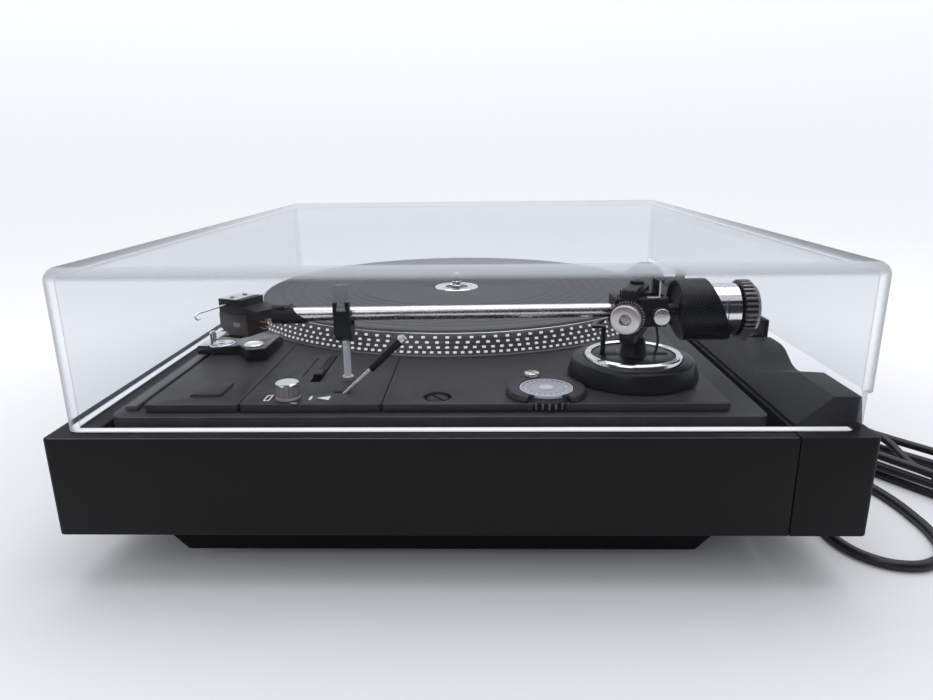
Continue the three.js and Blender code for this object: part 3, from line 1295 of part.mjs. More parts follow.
const lead = (name, spec, points) => {
  const path = alongPath(points);
  const steps = Math.ceil(path.getLength() / (STRETCH * spec.diameter));
  piece(deck, name, tube(path, spec.diameter, spec.sides, steps), 'cord');
  reportGap(name, path, spec.diameter);
};

const winding = (name, spec, form, tail) => {
  const turns = windingPoints(spec, form);
  const points = [ahead(turns[0], form.heading, -spec.diameter), ...turns, ...tail(turns.at(-1))];
  const path = alongPath(points);
  const steps = Math.round((turns.length * path.getLength()) / alongPath(turns).getLength());
  piece(deck, name, tube(path, spec.diameter, 6, steps), 'cord');
  reportGap(name, path, spec.diameter);
};

const windingStart = (spec, form) => ahead(windingPoints(spec, form)[0], form.heading, -spec.diameter - GAP);

const STRETCH = 2.6;
const mainsFloor = resting(MAINS);
const mainsStart = [MAINS.exitX, rearFace + MAINS.relief + 2 * GAP, MAINS.exitZ];
const mainsJoin = windingStart(MAINS, MAINS_COIL);
piece(deck, 'mains_strain_relief', strainRelief(MAINS), 'black')
  .position.set(MAINS.exitX, rearFace, MAINS.exitZ);
lead('mains_lead', MAINS, [
  mainsStart,
  ahead(mainsStart, 90, MAINS.diameter),
  [55.6, 219.6, -37.2],
  [59.5, 227.5, -41.5],
  [68, 232.4, -49],
  [79.5, 232, -58],
  [91, 227.5, -65.5],
  [103, 219, -70.8],
  [115.5, 209, -73],
  [129, 199.8, mainsFloor],
  [144, 193.2, mainsFloor],
  [160, 190.8, mainsFloor],
  [175, 192.6, mainsFloor],
  [187.3, 200.2, mainsFloor],
  [193.4, 213, mainsFloor],
  [191, 227.6, mainsFloor],
  [180.6, 238.6, mainsFloor],
  [165, 243.6, mainsFloor],
  [147, 244.6, mainsFloor],
  [128, 243.2, mainsFloor],
  [110, 239, mainsFloor],
  [92, 232, mainsFloor],
  [74, 222.4, mainsFloor],
  [56, 211, mainsFloor],
  [37, 200.2, mainsFloor],
  [17, 192.6, mainsFloor],
  ahead(mainsJoin, MAINS_COIL.heading, -2 * MAINS.diameter),
  mainsJoin,
]);

const plugHeading = 166;
const mainsTailEnd = [-67, 197.4, FLOOR + MAINS_PLUG.height / 2];
winding('mains_coil', MAINS, MAINS_COIL, (last) => [
  ahead(last, MAINS_COIL.heading, 2 * MAINS.diameter),
  ahead(last, MAINS_COIL.heading, 4.5 * MAINS.diameter, -MAINS.diameter / 4),
  [-47, 192.2, FLOOR + MAINS_PLUG.height / 2],
  ahead(mainsTailEnd, plugHeading, -MAINS.diameter),
  mainsTailEnd,
]);

const mainsPlug = () => {
  const halfW = MAINS_PLUG.width / 2;
  const halfH = MAINS_PLUG.height / 2;
  const { length, taper } = MAINS_PLUG;
  const plan = prism([
    [0, -taper], [length / 3, -halfW], [length, -halfW], [length, halfW], [length / 3, halfW], [0, taper],
  ], -halfH, halfH);
  const side = alongY([
    [0, -taper], [length / 4, -halfH], [length, -halfH], [length, halfH], [length / 4, halfH], [0, taper],
  ], -halfW, halfW);
  const { pitch, bladeThick } = MAINS_PLUG;
  const blades = [-1, 1].map((hand) => slab(
    [length - OVERRUN, length + MAINS_PLUG.bladeLength],
    [(hand * pitch - bladeThick) / 2, (hand * pitch + bladeThick) / 2],
    [-MAINS_PLUG.blade / 2, MAINS_PLUG.blade / 2],
  ));
  return join(common(plan, side), ...blades);
};
const placeAhead = (mesh, point, heading) => {
  mesh.position.set(...ahead(point, heading, GAP));
  mesh.rotation.z = degrees(heading);
};
placeAhead(piece(deck, 'mains_plug', mainsPlug(), 'black'), mainsTailEnd, plugHeading);

const signalFloor = resting(SIGNAL);
const signalStart = [SIGNAL.exitX, rearFace + SIGNAL.relief + 2 * GAP, SIGNAL.exitZ];
const signalJoin = windingStart(SIGNAL, SIGNAL_HANK);
piece(deck, 'signal_strain_relief', strainRelief(SIGNAL), 'black')
  .position.set(SIGNAL.exitX, rearFace, SIGNAL.exitZ);
lead('signal_lead', SIGNAL, [
  signalStart,
  ahead(signalStart, 90, SIGNAL.diameter),
  [-80, 211, -38],
  [-79.6, 221, -44],
  [-78.8, 231, -53],
  [-77, 242, -62.5],
  [-73, 254, -70],
  [-66, 266, -73.2],
  [-55, 276.6, signalFloor],
  [-41, 283, signalFloor],
  [-25, 285.8, signalFloor],
  [-8, 285.6, signalFloor],
  [8, 281.6, signalFloor],
  [21, 274.6, signalFloor],
  [33, 267.6, signalFloor],
  ahead(signalJoin, SIGNAL_HANK.heading, -1.6 * SIGNAL.diameter),
  signalJoin,
]);

// The hank's inner end comes down into the space between its runs, where the plug lies.
const inHank = (a, b, z) => {
  const point = ahead([SIGNAL_HANK.x, SIGNAL_HANK.y, FLOOR], SIGNAL_HANK.heading, a, z);
  return ahead(point, SIGNAL_HANK.heading + 90, b);
};
const signalTailEnd = inHank(8, 0, SIGNAL_PLUG.radius);
winding('signal_coil', SIGNAL, SIGNAL_HANK, () => [
  inHank(-33, 13.2, 14.4),
  inHank(-23, 9, 13.6),
  inHank(-14, 4.2, 11),
  inHank(-5, 0.8, 8),
  ahead(signalTailEnd, SIGNAL_HANK.heading, -SIGNAL.diameter),
  signalTailEnd,
]);

const signalPlug = () => {
  const { radius, length, tail, shell, shellLength, shellWall } = SIGNAL_PLUG;
  const front = length + shellLength;
  const body = turned([
    [0, 0], [tail, 0], [radius, length / 3], [radius, length], [shell, length], [shell, front],
    [shell - shellWall, front], [shell - shellWall, length], [0, length],
  ], 12);
  const pins = Array.from({ length: SIGNAL_PLUG.pins }, (_, i) => {
    const angle = (i / (SIGNAL_PLUG.pins - 1)) * Math.PI;
    return pillar(
      SIGNAL_PLUG.pin, length - OVERRUN, front - OVERRUN,
      SIGNAL_PLUG.pinCircle * Math.cos(angle), SIGNAL_PLUG.pinCircle * Math.sin(angle), 6,
    );
  });
  return aim(toGeometry(join(body, ...pins)), X);
};
placeAhead(piece(deck, 'signal_plug', signalPlug(), 'black'), signalTailEnd, SIGNAL_HANK.heading);

export default turntable;
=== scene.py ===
# Direct-drive turntable under a clear hinged lid, dressed over its CAD frame.
import math

import bmesh
import bpy
from mathutils import Matrix, Vector


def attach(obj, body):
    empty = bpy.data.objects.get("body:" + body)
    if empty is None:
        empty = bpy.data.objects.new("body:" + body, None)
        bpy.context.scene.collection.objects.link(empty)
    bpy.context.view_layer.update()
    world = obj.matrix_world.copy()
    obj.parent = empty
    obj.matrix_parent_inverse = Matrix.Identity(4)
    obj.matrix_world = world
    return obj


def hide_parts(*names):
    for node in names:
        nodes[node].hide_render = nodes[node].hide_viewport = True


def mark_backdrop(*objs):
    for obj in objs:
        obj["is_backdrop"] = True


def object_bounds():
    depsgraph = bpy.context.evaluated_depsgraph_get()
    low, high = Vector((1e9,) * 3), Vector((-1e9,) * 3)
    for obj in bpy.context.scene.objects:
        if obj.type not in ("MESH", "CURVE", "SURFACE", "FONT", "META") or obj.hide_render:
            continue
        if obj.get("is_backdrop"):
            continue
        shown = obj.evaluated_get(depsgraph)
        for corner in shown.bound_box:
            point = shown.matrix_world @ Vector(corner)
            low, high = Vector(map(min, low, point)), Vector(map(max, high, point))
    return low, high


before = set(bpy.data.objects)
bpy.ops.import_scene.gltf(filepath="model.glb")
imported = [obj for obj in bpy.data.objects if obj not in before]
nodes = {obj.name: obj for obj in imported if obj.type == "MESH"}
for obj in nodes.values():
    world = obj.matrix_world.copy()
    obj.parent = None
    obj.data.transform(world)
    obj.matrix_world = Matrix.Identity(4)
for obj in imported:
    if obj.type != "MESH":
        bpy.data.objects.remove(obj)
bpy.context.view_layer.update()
mm = 0.001        # the dictionaries are in millimetres, but for what a comment names
plinthTop = 76    # and their heights count from the plinth's top
tau = 2 * math.pi
softAngle = 32    # degrees: edges sharper than this stay hard


class Sizes(dict):    # a dictionary whose values can be read as attributes
    __getattr__ = dict.__getitem__


def place(x, y, z):
    return Vector((x, y, z + plinthTop)) * mm


def shift(x, y, z):
    return Matrix.Translation(Vector((x, y, z)) * mm)


def spotAt(x, y, z=0):
    return Matrix.Translation(place(x, y, z))


def turnZ(angle):
    return Matrix.Rotation(math.radians(angle), 4, 'Z')


def linked(name, data):
    piece = bpy.data.objects.new(name, data)
    bpy.context.scene.collection.objects.link(piece)
    return piece


upToBack = Matrix.Rotation(-math.pi / 2, 4, 'X')    # a shape turned about Z lies along +Y
upToRight = Matrix.Rotation(math.pi / 2, 4, 'Y')    # and along +X

# Camera, solved from the edges of the lid, the plinth and the deck. Its angles are in radians.
view = Sizes(
    eye=(482.683, 12.281, 117.971), yaw=-0.0259, pitch=0.2789, roll=-0.0118, focalPixels=681.722,
    imageWidth=933, sensor=36, clipStart=10)
cosYaw, sinYaw = math.cos(view.yaw), math.sin(view.yaw)
cosPitch, sinPitch = math.cos(view.pitch), math.sin(view.pitch)
ahead = Vector((-cosYaw * cosPitch, sinYaw * cosPitch, -sinPitch))
level = Vector((sinYaw, cosYaw, 0))
up = level.cross(ahead)
cosRoll, sinRoll = math.cos(view.roll), math.sin(view.roll)
right = level * cosRoll + up * sinRoll
up = up * cosRoll - level * sinRoll
lens = bpy.data.cameras.new('camera')
lens.sensor_width = view.sensor
lens.lens = view.focalPixels * view.sensor / view.imageWidth
lens.clip_start = view.clipStart * mm
eye = linked('camera', lens)
facing = Matrix((right, up, -ahead)).transposed().to_4x4()
eye.matrix_world = Matrix.Translation(place(*view.eye)) @ facing
bpy.context.scene.camera = eye
bpy.context.scene.view_settings.view_transform = 'Standard'
print('camera set')


# Shader graphs, written as expressions on sockets.
def operator(operation):
    return lambda first, *others: first.finish.maths(operation, first, *others)


class Wire:
    __add__ = operator('ADD')
    __mul__ = operator('MULTIPLY')
    __pow__ = operator('POWER')
    __or__ = operator('MAXIMUM')    # the larger of the two
    __abs__ = operator('ABSOLUTE')

    def __init__(self, finish, socket):
        self.finish = finish
        self.socket = socket

    def __rsub__(self, other):
        return self.finish.maths('SUBTRACT', other, self)


wear = Sizes(
    cloudDetail=3, grainDetail=2, low=0.3, high=0.7, cloudShare=0.6, grainShare=0.4, speckScaleShare=0.7,
    speckLow=0.73, speckHigh=0.8, speckTint=(0.5, 0.5, 0.5, 1), relief=0.2)


class Finish:
    def __init__(self, name, slot, colour, roughness, metallic=0.0, **fixed):
        self.material = bpy.data.materials.new(name)
        self.slot = slot
        self.colour = colour
        self.roughness = roughness
        self.material.use_nodes = True
        self.tree = self.material.node_tree
        self.surface = self.tree.nodes['Principled BSDF']
        self.feed('Base Color', (*colour, 1))
        self.feed('Roughness', roughness)
        self.feed('Metallic', metallic)
        for socket, value in fixed.items():
            self.feed(socket.replace('_', ' '), value)

    def feed(self, socket, value, node=None):
        socket = (node or self.surface).inputs[socket]
        if isinstance(value, Wire):
            self.tree.links.new(value.socket, socket)
        else:
            socket.default_value = value

    def node(self, kind, inputs=None, out=0, **settings):
        made = self.tree.nodes.new('ShaderNode' + kind)
        for setting, value in settings.items():
            setattr(made, setting, value)
        for socket, value in (inputs or {}).items():
            self.feed(socket, value, made)
        return Wire(self, made.outputs[out])

    def maths(self, operation, *values):
        return self.node('Math', dict(enumerate(values)), operation=operation)

    def axes(self):
        split = self.node('SeparateXYZ', {0: self.node('TexCoord', out='Object')})
        return [Wire(self, split.socket.node.outputs[i]) for i in range(3)]

    def noise(self, scale, detail):
        spot = self.node('TexCoord', out='Object')
        return self.node('TexNoise', {'Vector': spot, 'Scale': scale, 'Detail': detail})

    def smooth(self, value, low, high, toLow=0.0, toHigh=1.0):
        return self.node('MapRange', {0: value, 1: low, 2: high, 3: toLow, 4: toHigh},
                         interpolation_type='SMOOTHSTEP')

    def blend(self, factor, first, second):
        return self.node('Mix', {0: factor, 6: first, 7: second}, out=2, data_type='RGBA')

    # clouded tint, uneven gloss and a fine grain, the base of every finish here
    def worn(self, spread=0.12, tintScale=60, grain=1500, depth=0.15, gloss=0.06, dust=0.0):
        cloud = self.noise(tintScale, wear.cloudDetail)
        fine = self.noise(grain, wear.grainDetail)
        dark = tuple(c * (1 - spread) for c in self.colour) + (1,)
        light = tuple(c * (1 + spread) for c in self.colour) + (1,)
        tint = self.blend(self.smooth(cloud, wear.low, wear.high), dark, light)
        if dust:
            specks = self.noise(grain * wear.speckScaleShare, 0)
            specks = self.smooth(specks, wear.speckLow, wear.speckHigh)
            tint = self.blend(specks * dust, tint, wear.speckTint)
        self.feed('Base Color', tint)
        mixed = cloud * wear.cloudShare + fine * wear.grainShare
        self.feed('Roughness', self.smooth(mixed, wear.low, wear.high,
                                           self.roughness - gloss, self.roughness + gloss))
        if depth:
            self.feed('Normal', self.node('Bump', {'Height': fine, 'Strength': depth,
                                                   'Distance': wear.relief * mm}))
        return self


def plastic(name, slot, colour, roughness, specular, grain=1800, **worn):
    finish = Finish(name, slot, colour, roughness, Specular_IOR_Level=specular)
    return finish.worn(grain=grain, **worn)


def metal(name, slot, colour, roughness, metallic, **worn):
    return Finish(name, slot, colour, roughness, metallic).worn(**worn)


plinthPaint = plastic('plinthPaint', 'plinth_paint', (0.0058, 0.0058, 0.0062), 0.52, 0.16, grain=900,
                      depth=0.25)
panPlastic = plastic('panPlastic', 'pan_plastic', (0.0025, 0.0025, 0.003), 0.6, 0.12, grain=1200)
footRubber = plastic('footRubber', 'foot_rubber', (0.01, 0.01, 0.01), 0.85, 0.2, grain=2200, depth=0.3)
deckPaint = plastic('deckPaint', 'deck_metal', (0.03, 0.029, 0.032), 0.48, 0.18, grain=1500, depth=0.35,
                    dust=0.1)
coverPlastic = plastic('coverPlastic', 'cover_plastic', (0.027, 0.025, 0.027), 0.45, 0.18, grain=1700,
                       depth=0.35, dust=0.1)
railPlastic = plastic('railPlastic', 'rail_plastic', (0.019, 0.0185, 0.021), 0.55, 0.2, grain=1300, depth=0.5)
blackPlastic = plastic('blackPlastic', 'black_plastic', (0.005, 0.005, 0.0057), 0.34, 0.2, depth=0.08)
darkPlastic = plastic('darkPlastic', 'dark_plastic', (0.0085, 0.008, 0.009), 0.45, 0.22, depth=0.12)
matRubber = plastic('matRubber', 'mat_rubber', (0.068, 0.066, 0.07), 0.62, 0.35, grain=2600, depth=0.2,
                    dust=0.15)
platterPaint = plastic('platterPaint', 'platter_metal', (0.032, 0.029, 0.03), 0.36, 0.5, grain=2000,
                       depth=0.08)
cordJacket = plastic('cordJacket', 'cord_jacket', (0.008, 0.008, 0.009), 0.42, 0.4, grain=900, depth=0.1)
chrome = metal('chrome', 'chrome', (0.78, 0.78, 0.8), 0.12, 1.0, spread=0.04, depth=0.02, gloss=0.03)
satinMetal = metal('satinMetal', 'satin_metal', (0.62, 0.6, 0.58), 0.26, 1.0, spread=0.05, depth=0.03)
dialMetal = metal('dialMetal', 'satin_metal', (0.72, 0.66, 0.64), 0.33, 1.0, spread=0.04, depth=0.04)
bareSteel = metal('bareSteel', 'steel', (0.42, 0.42, 0.43), 0.35, 1.0, spread=0.1, depth=0.08, gloss=0.1)
dotMetal = metal('dotMetal', 'platter_metal', (0.98, 0.97, 0.94), 0.3, 0.0, spread=0.02, depth=0.0)
legendSilver = metal('legendSilver', 'satin_metal', (0.72, 0.72, 0.72), 0.4, 0.2, spread=0.05, depth=0.0)
skirtMetal = metal('skirtMetal', 'platter_metal', (0.17, 0.155, 0.155), 0.34, 0.6, spread=0.08, depth=0.05)
brownPlastic = plastic('brownPlastic', 'dark_plastic', (0.03, 0.021, 0.021), 0.36, 0.45, depth=0.06)
glossBlack = plastic('glossBlack', 'black_plastic', (0.006, 0.006, 0.007), 0.2, 0.5, grain=1500, depth=0.03)
leadGold = metal('leadGold', 'satin_metal', (0.45, 0.33, 0.14), 0.4, 0.3, spread=0.1, depth=0.0)
legendRose = metal('legendRose', 'satin_metal', (0.2, 0.13, 0.14), 0.4, 0.2, spread=0.1, depth=0.0)
knobGrey = metal('knobGrey', 'satin_metal', (0.17, 0.145, 0.142), 0.42, 0.1, spread=0.12, depth=0.06)
# painted highlight: a lighter paint for the bright edge lines and the front trim strip
highlightPaint = metal('highlightPaint', 'deck_metal', (0.075, 0.074, 0.078), 0.4, 0.1, spread=0.08, depth=0.1)
plateSilver = metal('plateSilver', 'satin_metal', (0.74, 0.73, 0.7), 0.3, 0.85, spread=0.06, depth=0.05)


# Clear parts: mostly see-through, whiter where they are seen edge on or curve away.
def clearPlastic(name, slot, colour, veil, shine, sharpness=2, roughness=0.08):
    finish = Finish(name, slot, colour, roughness, Specular_IOR_Level=0.06)
    finish.worn(spread=0.02, depth=0.0, gloss=0.01, tintScale=20)
    facing = finish.node('LayerWeight', {'Blend': 0.5}, out=1)
    return finish, facing ** sharpness * shine + veil


def seeThrough(finish, factor, tint=(1, 1, 1)):
    clear = finish.node('BsdfTransparent', {0: (*tint, 1)})
    mix = finish.tree.nodes.new('ShaderNodeMixShader')
    finish.feed(0, finish.maths('MINIMUM', factor, 1.0), mix)
    finish.tree.links.new(clear.socket, mix.inputs[1])
    finish.tree.links.new(finish.surface.outputs[0], mix.inputs[2])
    finish.tree.links.new(mix.outputs[0], finish.tree.nodes['Material Output'].inputs[0])
    return finish


clearPart = seeThrough(*clearPlastic('clearPart', 'clear_part', (0.66, 0.68, 0.72), veil=0.42, shine=0.5))
clearDisc = seeThrough(*clearPlastic('clearDisc', 'clear_part', (0.5, 0.52, 0.57), veil=0.36, shine=0.35))
smokeClear = seeThrough(*clearPlastic('smokeClear', 'clear_part', (0.2, 0.2, 0.215), veil=0.6, shine=0.3,
                                      roughness=0.1))

# The lid's plastic is whiter along its edges, a painted highlight that is strongest on the near side, and it
# carries a painted highlight along its foot.
lid = Sizes(
    halfWidth=203.2, front=-176.3, rear=182, bottom=0.3, top=74, wall=4, corner=7, brow=6, heel=178,
    heelRadius=8, rearCut=17.5, railRoom=0.1, overrun=2, bite=1, soft=0.35, softAngle=50, steps=8,
    heelSteps=64)
lidLook = Sizes(
    tint=(0.41, 0.43, 0.46), veil=0.006, shine=0.42, sharpness=4, edgeGlow=6.5, edgeVeil=0.8, edgeRough=0.35,
    rough=0.06, footLow=0.6, footHigh=1, footVeil=0.25, footTint=(0.9, 0.91, 0.94, 1), farShare=0.22,
    through=(0.955, 0.96, 0.97))
acrylic, panelVeil = clearPlastic('acrylic', 'lid_clear', lidLook.tint, lidLook.veil, lidLook.shine,
                                  lidLook.sharpness)
spotX, spotY, spotZ = acrylic.axes()


def nearEdge(distance, edge):
    return acrylic.smooth(distance, (edge - lidLook.edgeGlow) * mm, (edge - lidLook.edgeGlow / 2) * mm)


nearSide = nearEdge(abs(spotX), lid.halfWidth)
nearEnd = nearEdge(spotY * -1, -lid.front) | nearEdge(spotY, lid.rear)
nearTop = nearEdge(spotZ, lid.top + plinthTop)
# painted highlight: the lid's foot is whiter in colour and veil
footHighlightMask = 1 - acrylic.smooth(spotZ, place(0, 0, lidLook.footLow).z, place(0, 0, lidLook.footHigh).z)
edges = nearSide * nearEnd | nearTop * (nearSide | nearEnd) | footHighlightMask
# painted highlight: the whitened edges are strongest on the near side and fade towards the far side
nearSideHighlight = acrylic.smooth(spotX, -lid.halfWidth * mm, lid.halfWidth * mm, lidLook.farShare)
acrylic.feed('Base Color', acrylic.blend(footHighlightMask, (*acrylic.colour, 1), lidLook.footTint))
acrylic.feed('Roughness', edges * lidLook.edgeRough + lidLook.rough)
seeThrough(acrylic, panelVeil + edges * lidLook.edgeVeil * nearSideHighlight + footHighlightMask * lidLook.footVeil,
           lidLook.through)
print('finishes mixed')


def deselect():
    if bpy.context.object and bpy.context.object.mode != 'OBJECT':
        bpy.ops.object.mode_set(mode='OBJECT')
    bpy.ops.object.select_all(action='DESELECT')


def choose(piece):
    deselect()
    piece.select_set(True)
    bpy.context.view_layer.objects.active = piece


def edit(piece, kind='VERT', action='SELECT'):
    choose(piece)
    bpy.ops.object.mode_set(mode='EDIT')
    bpy.ops.mesh.select_mode(type=kind)
    bpy.ops.mesh.select_all(action=action)


def finishEdit(piece, smoothAngle=softAngle):
    bpy.ops.mesh.select_all(action='SELECT')
    bpy.ops.mesh.remove_doubles(threshold=0.000002)
    bpy.ops.mesh.normals_make_consistent(inside=False)
    bpy.ops.object.mode_set(mode='OBJECT')
    choose(piece)
    bpy.ops.object.shade_smooth_by_angle(angle=math.radians(smoothAngle))


# Pulls the chosen ring of edges on through further rings of (radius, height).
def growRings(radius, height, rings):
    for nextRadius, nextHeight in rings:
        bpy.ops.mesh.extrude_edges_move(TRANSFORM_OT_translate={'value': (0, 0, (nextHeight - height) * mm)})
        grow = nextRadius / radius
        bpy.ops.transform.resize(value=(grow, grow, 1), center_override=(0, 0, nextHeight * mm))
        radius, height = nextRadius, nextHeight
    return height


# A turned piece: a circle is extruded ring by ring along its profile of (radius, height).
def turned(name, profile, segments=96, smoothAngle=softAngle):
    deselect()
    rings = [point for point in profile if point[0] > 0]
    if profile[0][0] > 0 and profile[-1][0] > 0:    # a bored piece closes on its first ring
        rings.append(rings[0])
    radius, height = rings[0]
    bpy.ops.mesh.primitive_circle_add(vertices=segments, radius=radius * mm, location=(0, 0, height * mm),
                                      fill_type='NGON' if profile[0][0] == 0 else 'NOTHING')
    piece = bpy.context.object
    piece.name = piece.data.name = name
    bpy.ops.object.transform_apply()
    edit(piece, 'EDGE')
    height = growRings(radius, height, rings[1:])
    rise = profile[-1][1] - height
    if profile[-1][0] == 0 and abs(rise) < 1e-6:
        bpy.ops.mesh.edge_face_add()
    elif profile[-1][0] == 0:
        bpy.ops.mesh.extrude_edges_move(TRANSFORM_OT_translate={'value': (0, 0, rise * mm)})
        bpy.ops.mesh.merge(type='CENTER')
    finishEdit(piece, smoothAngle)
    return piece


# A cut-out piece: its outline is drawn point by point, filled and pulled up.
def outlined(name, outline, low, high):
    deselect()
    bpy.ops.mesh.primitive_plane_add(size=mm, location=(0, 0, 0))
    piece = bpy.context.object
    piece.name = piece.data.name = name
    edit(piece)
    bpy.ops.mesh.merge(type='CENTER')
    bpy.ops.transform.translate(value=(outline[0][0] * mm, outline[0][1] * mm, low * mm))
    for here, there in zip(outline, outline[1:]):
        bpy.ops.mesh.extrude_vertices_move(TRANSFORM_OT_translate={
            'value': ((there[0] - here[0]) * mm, (there[1] - here[1]) * mm, 0)})
    bpy.ops.mesh.select_all(action='SELECT')
    bpy.ops.mesh.edge_face_add()
    bpy.ops.mesh.extrude_region_move(TRANSFORM_OT_translate={'value': (0, 0, (high - low) * mm)})
    finishEdit(piece)
    return piece


# A block between two corners.
def block(name, low, high):
    deselect()
    middle = [(a + b) / 2 * mm for a, b in zip(low, high)]
    bpy.ops.mesh.primitive_cube_add(size=1, location=middle, scale=[(b - a) * mm for a, b in zip(low, high)])
    piece = bpy.context.object
    piece.name = piece.data.name = name
    bpy.ops.object.transform_apply()
    return piece


def modify(piece, kind, **settings):
    choose(piece)
    modifier = piece.modifiers.new(kind.lower(), kind)
    for setting, value in settings.items():
        setattr(modifier, setting, value)
    bpy.ops.object.modifier_apply(modifier=modifier.name)
    bpy.ops.object.shade_smooth_by_angle(angle=math.radians(softAngle))
    return piece


def rounded(piece, width, segments=2, angle=softAngle):
    return modify(piece, 'BEVEL', width=width * mm, segments=segments, limit_method='ANGLE',
                  angle_limit=math.radians(angle), harden_normals=False, use_clamp_overlap=True)


def cut(piece, *cutters):
    for cutter in cutters:
        modify(piece, 'BOOLEAN', operation='DIFFERENCE', object=cutter, solver='EXACT')
        bpy.data.objects.remove(cutter)
    return piece


def join(piece, *others):
    choose(piece)
    for other in others:
        other.select_set(True)
    bpy.ops.object.join()
    return piece


def move(piece, matrix):
    choose(piece)
    piece.matrix_world = matrix @ piece.matrix_world
    bpy.ops.object.transform_apply()
    return piece


# Pulls every second pair of rim points inwards: grooves between teeth on a turned piece.
def knurl(piece, teeth, depth, rim, low, high):
    edit(piece, action='DESELECT')
    mesh = bmesh.from_edit_mesh(piece.data)
    for point in mesh.verts:
        step = round(math.atan2(point.co.y, point.co.x) / tau * teeth * 4) % 4
        reach = point.co.xy.length / mm
        point.select_set(step < 2 and reach > rim and low - 0.01 <= point.co.z / mm <= high + 0.01)
    mesh.select_flush(True)
    bmesh.update_edit_mesh(piece.data)
    shrink = 1 - depth / (rim + depth)
    bpy.ops.transform.resize(value=(shrink, shrink, 1), center_override=(0, 0, 0))
    bpy.ops.object.mode_set(mode='OBJECT')
    bpy.ops.object.shade_smooth_by_angle(angle=math.radians(28))
    return piece


# Gives a piece its place, finish and body, and hides the CAD nodes that it stands for.
def show(piece, finish, body, *cadNodes, at=None):
    if at is not None:
        move(piece, at)
    piece.data.materials.clear()
    piece.data.materials.append(finish.material)
    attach(piece, body)
    if cadNodes:
        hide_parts(*cadNodes)
    return piece


# A softened copy of a CAD node: merged, its flat faces made whole, its edges rounded.
def softened(node, finish, body, width=0.4, segments=2):
    piece = linked(node + '_shell', nodes[node].data.copy())
    edit(piece)
    bpy.ops.mesh.remove_doubles(threshold=0.000005)
    bpy.ops.mesh.dissolve_limited(angle_limit=math.radians(0.5))
    bpy.ops.object.mode_set(mode='OBJECT')
    rounded(piece, width, segments)
    return show(piece, finish, body, node)


# Repeats the mesh of a piece evenly round Z.
def ringOf(piece, count):
    edit(piece)
    bpy.ops.mesh.spin(steps=count - 1, dupli=True, angle=tau * (count - 1) / count, center=(0, 0, 0),
                      axis=(0, 0, 1))
    bpy.ops.object.mode_set(mode='OBJECT')
    return piece


# A round cord or wire: a smooth curve through its knots.
def roundCurve(name, knots, diameter, steps):
    curve = bpy.data.curves.new(name, 'CURVE')
    curve.dimensions = '3D'
    curve.bevel_depth = diameter / 2 * mm
    curve.bevel_resolution = 3
    curve.resolution_u = steps
    curve.use_fill_caps = True
    spline = curve.splines.new('BEZIER')
    spline.bezier_points.add(len(knots) - 1)
    for knot, spot in zip(spline.bezier_points, knots):
        knot.co = spot
        knot.handle_left_type = knot.handle_right_type = 'AUTO'
    return linked(name, curve)


# A wire's points are given in the frame of a matrix.
def wire(name, points, diameter, spot):
    choose(roundCurve(name, [spot @ (Vector(point) * mm) for point in points], diameter, 8))
    bpy.ops.object.convert(target='MESH')
    bpy.ops.object.shade_smooth()
    return bpy.context.object


# Chooses the edges or faces that pass a test.
def chooseParts(piece, kind, test):
    bpy.ops.mesh.select_all(action='DESELECT')
    mesh = bmesh.from_edit_mesh(piece.data)
    for part in getattr(mesh, kind):
        part.select_set(test(part))
    bmesh.update_edit_mesh(piece.data)


# Stage: a pale floor that runs up into a round backdrop, soft light from above and in front, and a painted
# shadow on the floor round the object.
# Its from, to, foot and top values and the spots and sizes of the lamps are in metres.
stage = Sizes(
    floorRadius=1500, sweep=900, height=2200, segments=128, sweepSteps=24, shade=(0.8, 0.81, 0.835),
    nearShade=(0.6, 0.61, 0.635), nearFrom=0.2, nearTo=0.55, glowFrom=0.45, glowTo=1.7, floorGlow=0.16,
    glowTint=(0.97, 0.98, 1, 1), wallFoot=0.05, wallTop=0.9, wallGlow=0.18, dimFrom=0.55, dimTo=1.1,
    dimShade=(0.04, 0.04, 0.043, 1), world=0.78, worldTint=(0.96, 0.975, 1, 1))
lamps = {'topLamp': Sizes(spot=(-0.1, 0.1, 1.35), size=1.5, power=14),
         'fillLamp': Sizes(spot=(1.1, -0.5, 0.9), size=0.8, power=4)}

# The paper glows a little far from the object, where only the camera and reflections see it,
# and its wall behind the camera is dark to reflections.
paper = Finish('floorPaper', 'pan_plastic', stage.shade, 0.9, 0.0, Specular_IOR_Level=0.1,
               Emission_Strength=1.0)
paper.worn(spread=0.01, depth=0.0, gloss=0.02, tintScale=3)
spotX, spotY, spotZ = paper.axes()
reachOut = (spotX * spotX + spotY * spotY) ** 0.5
farOff = paper.smooth(reachOut, stage.glowFrom, stage.glowTo)
raised = paper.smooth(spotZ, stage.wallFoot, stage.wallTop)
camera, glossy, through = [paper.node('LightPath', out=ray)
                           for ray in ('Is Camera Ray', 'Is Glossy Ray', 'Is Transmission Ray')]
dim = paper.smooth(spotX, stage.dimFrom, stage.dimTo) * glossy
shine = (farOff * stage.floorGlow + raised * stage.wallGlow) * (camera | glossy | through) * (1 - dim)
# painted shadow: the floor's colour darkens towards the object
shade = paper.blend(paper.smooth(reachOut, stage.nearFrom, stage.nearTo),
                    (*stage.nearShade, 1), (*stage.shade, 1))
paper.feed('Base Color', paper.blend(dim, shade, stage.dimShade))
paper.feed('Emission Color', paper.blend(shine, (0, 0, 0, 1), stage.glowTint))


def stageCircle(name, fill):
    deselect()
    bpy.ops.mesh.primitive_circle_add(vertices=stage.segments, radius=stage.floorRadius * mm,
                                      fill_type=fill, location=(0, 0, 0))
    piece = bpy.context.object
    piece.name = name
    piece.data.materials.append(paper.material)
    return piece


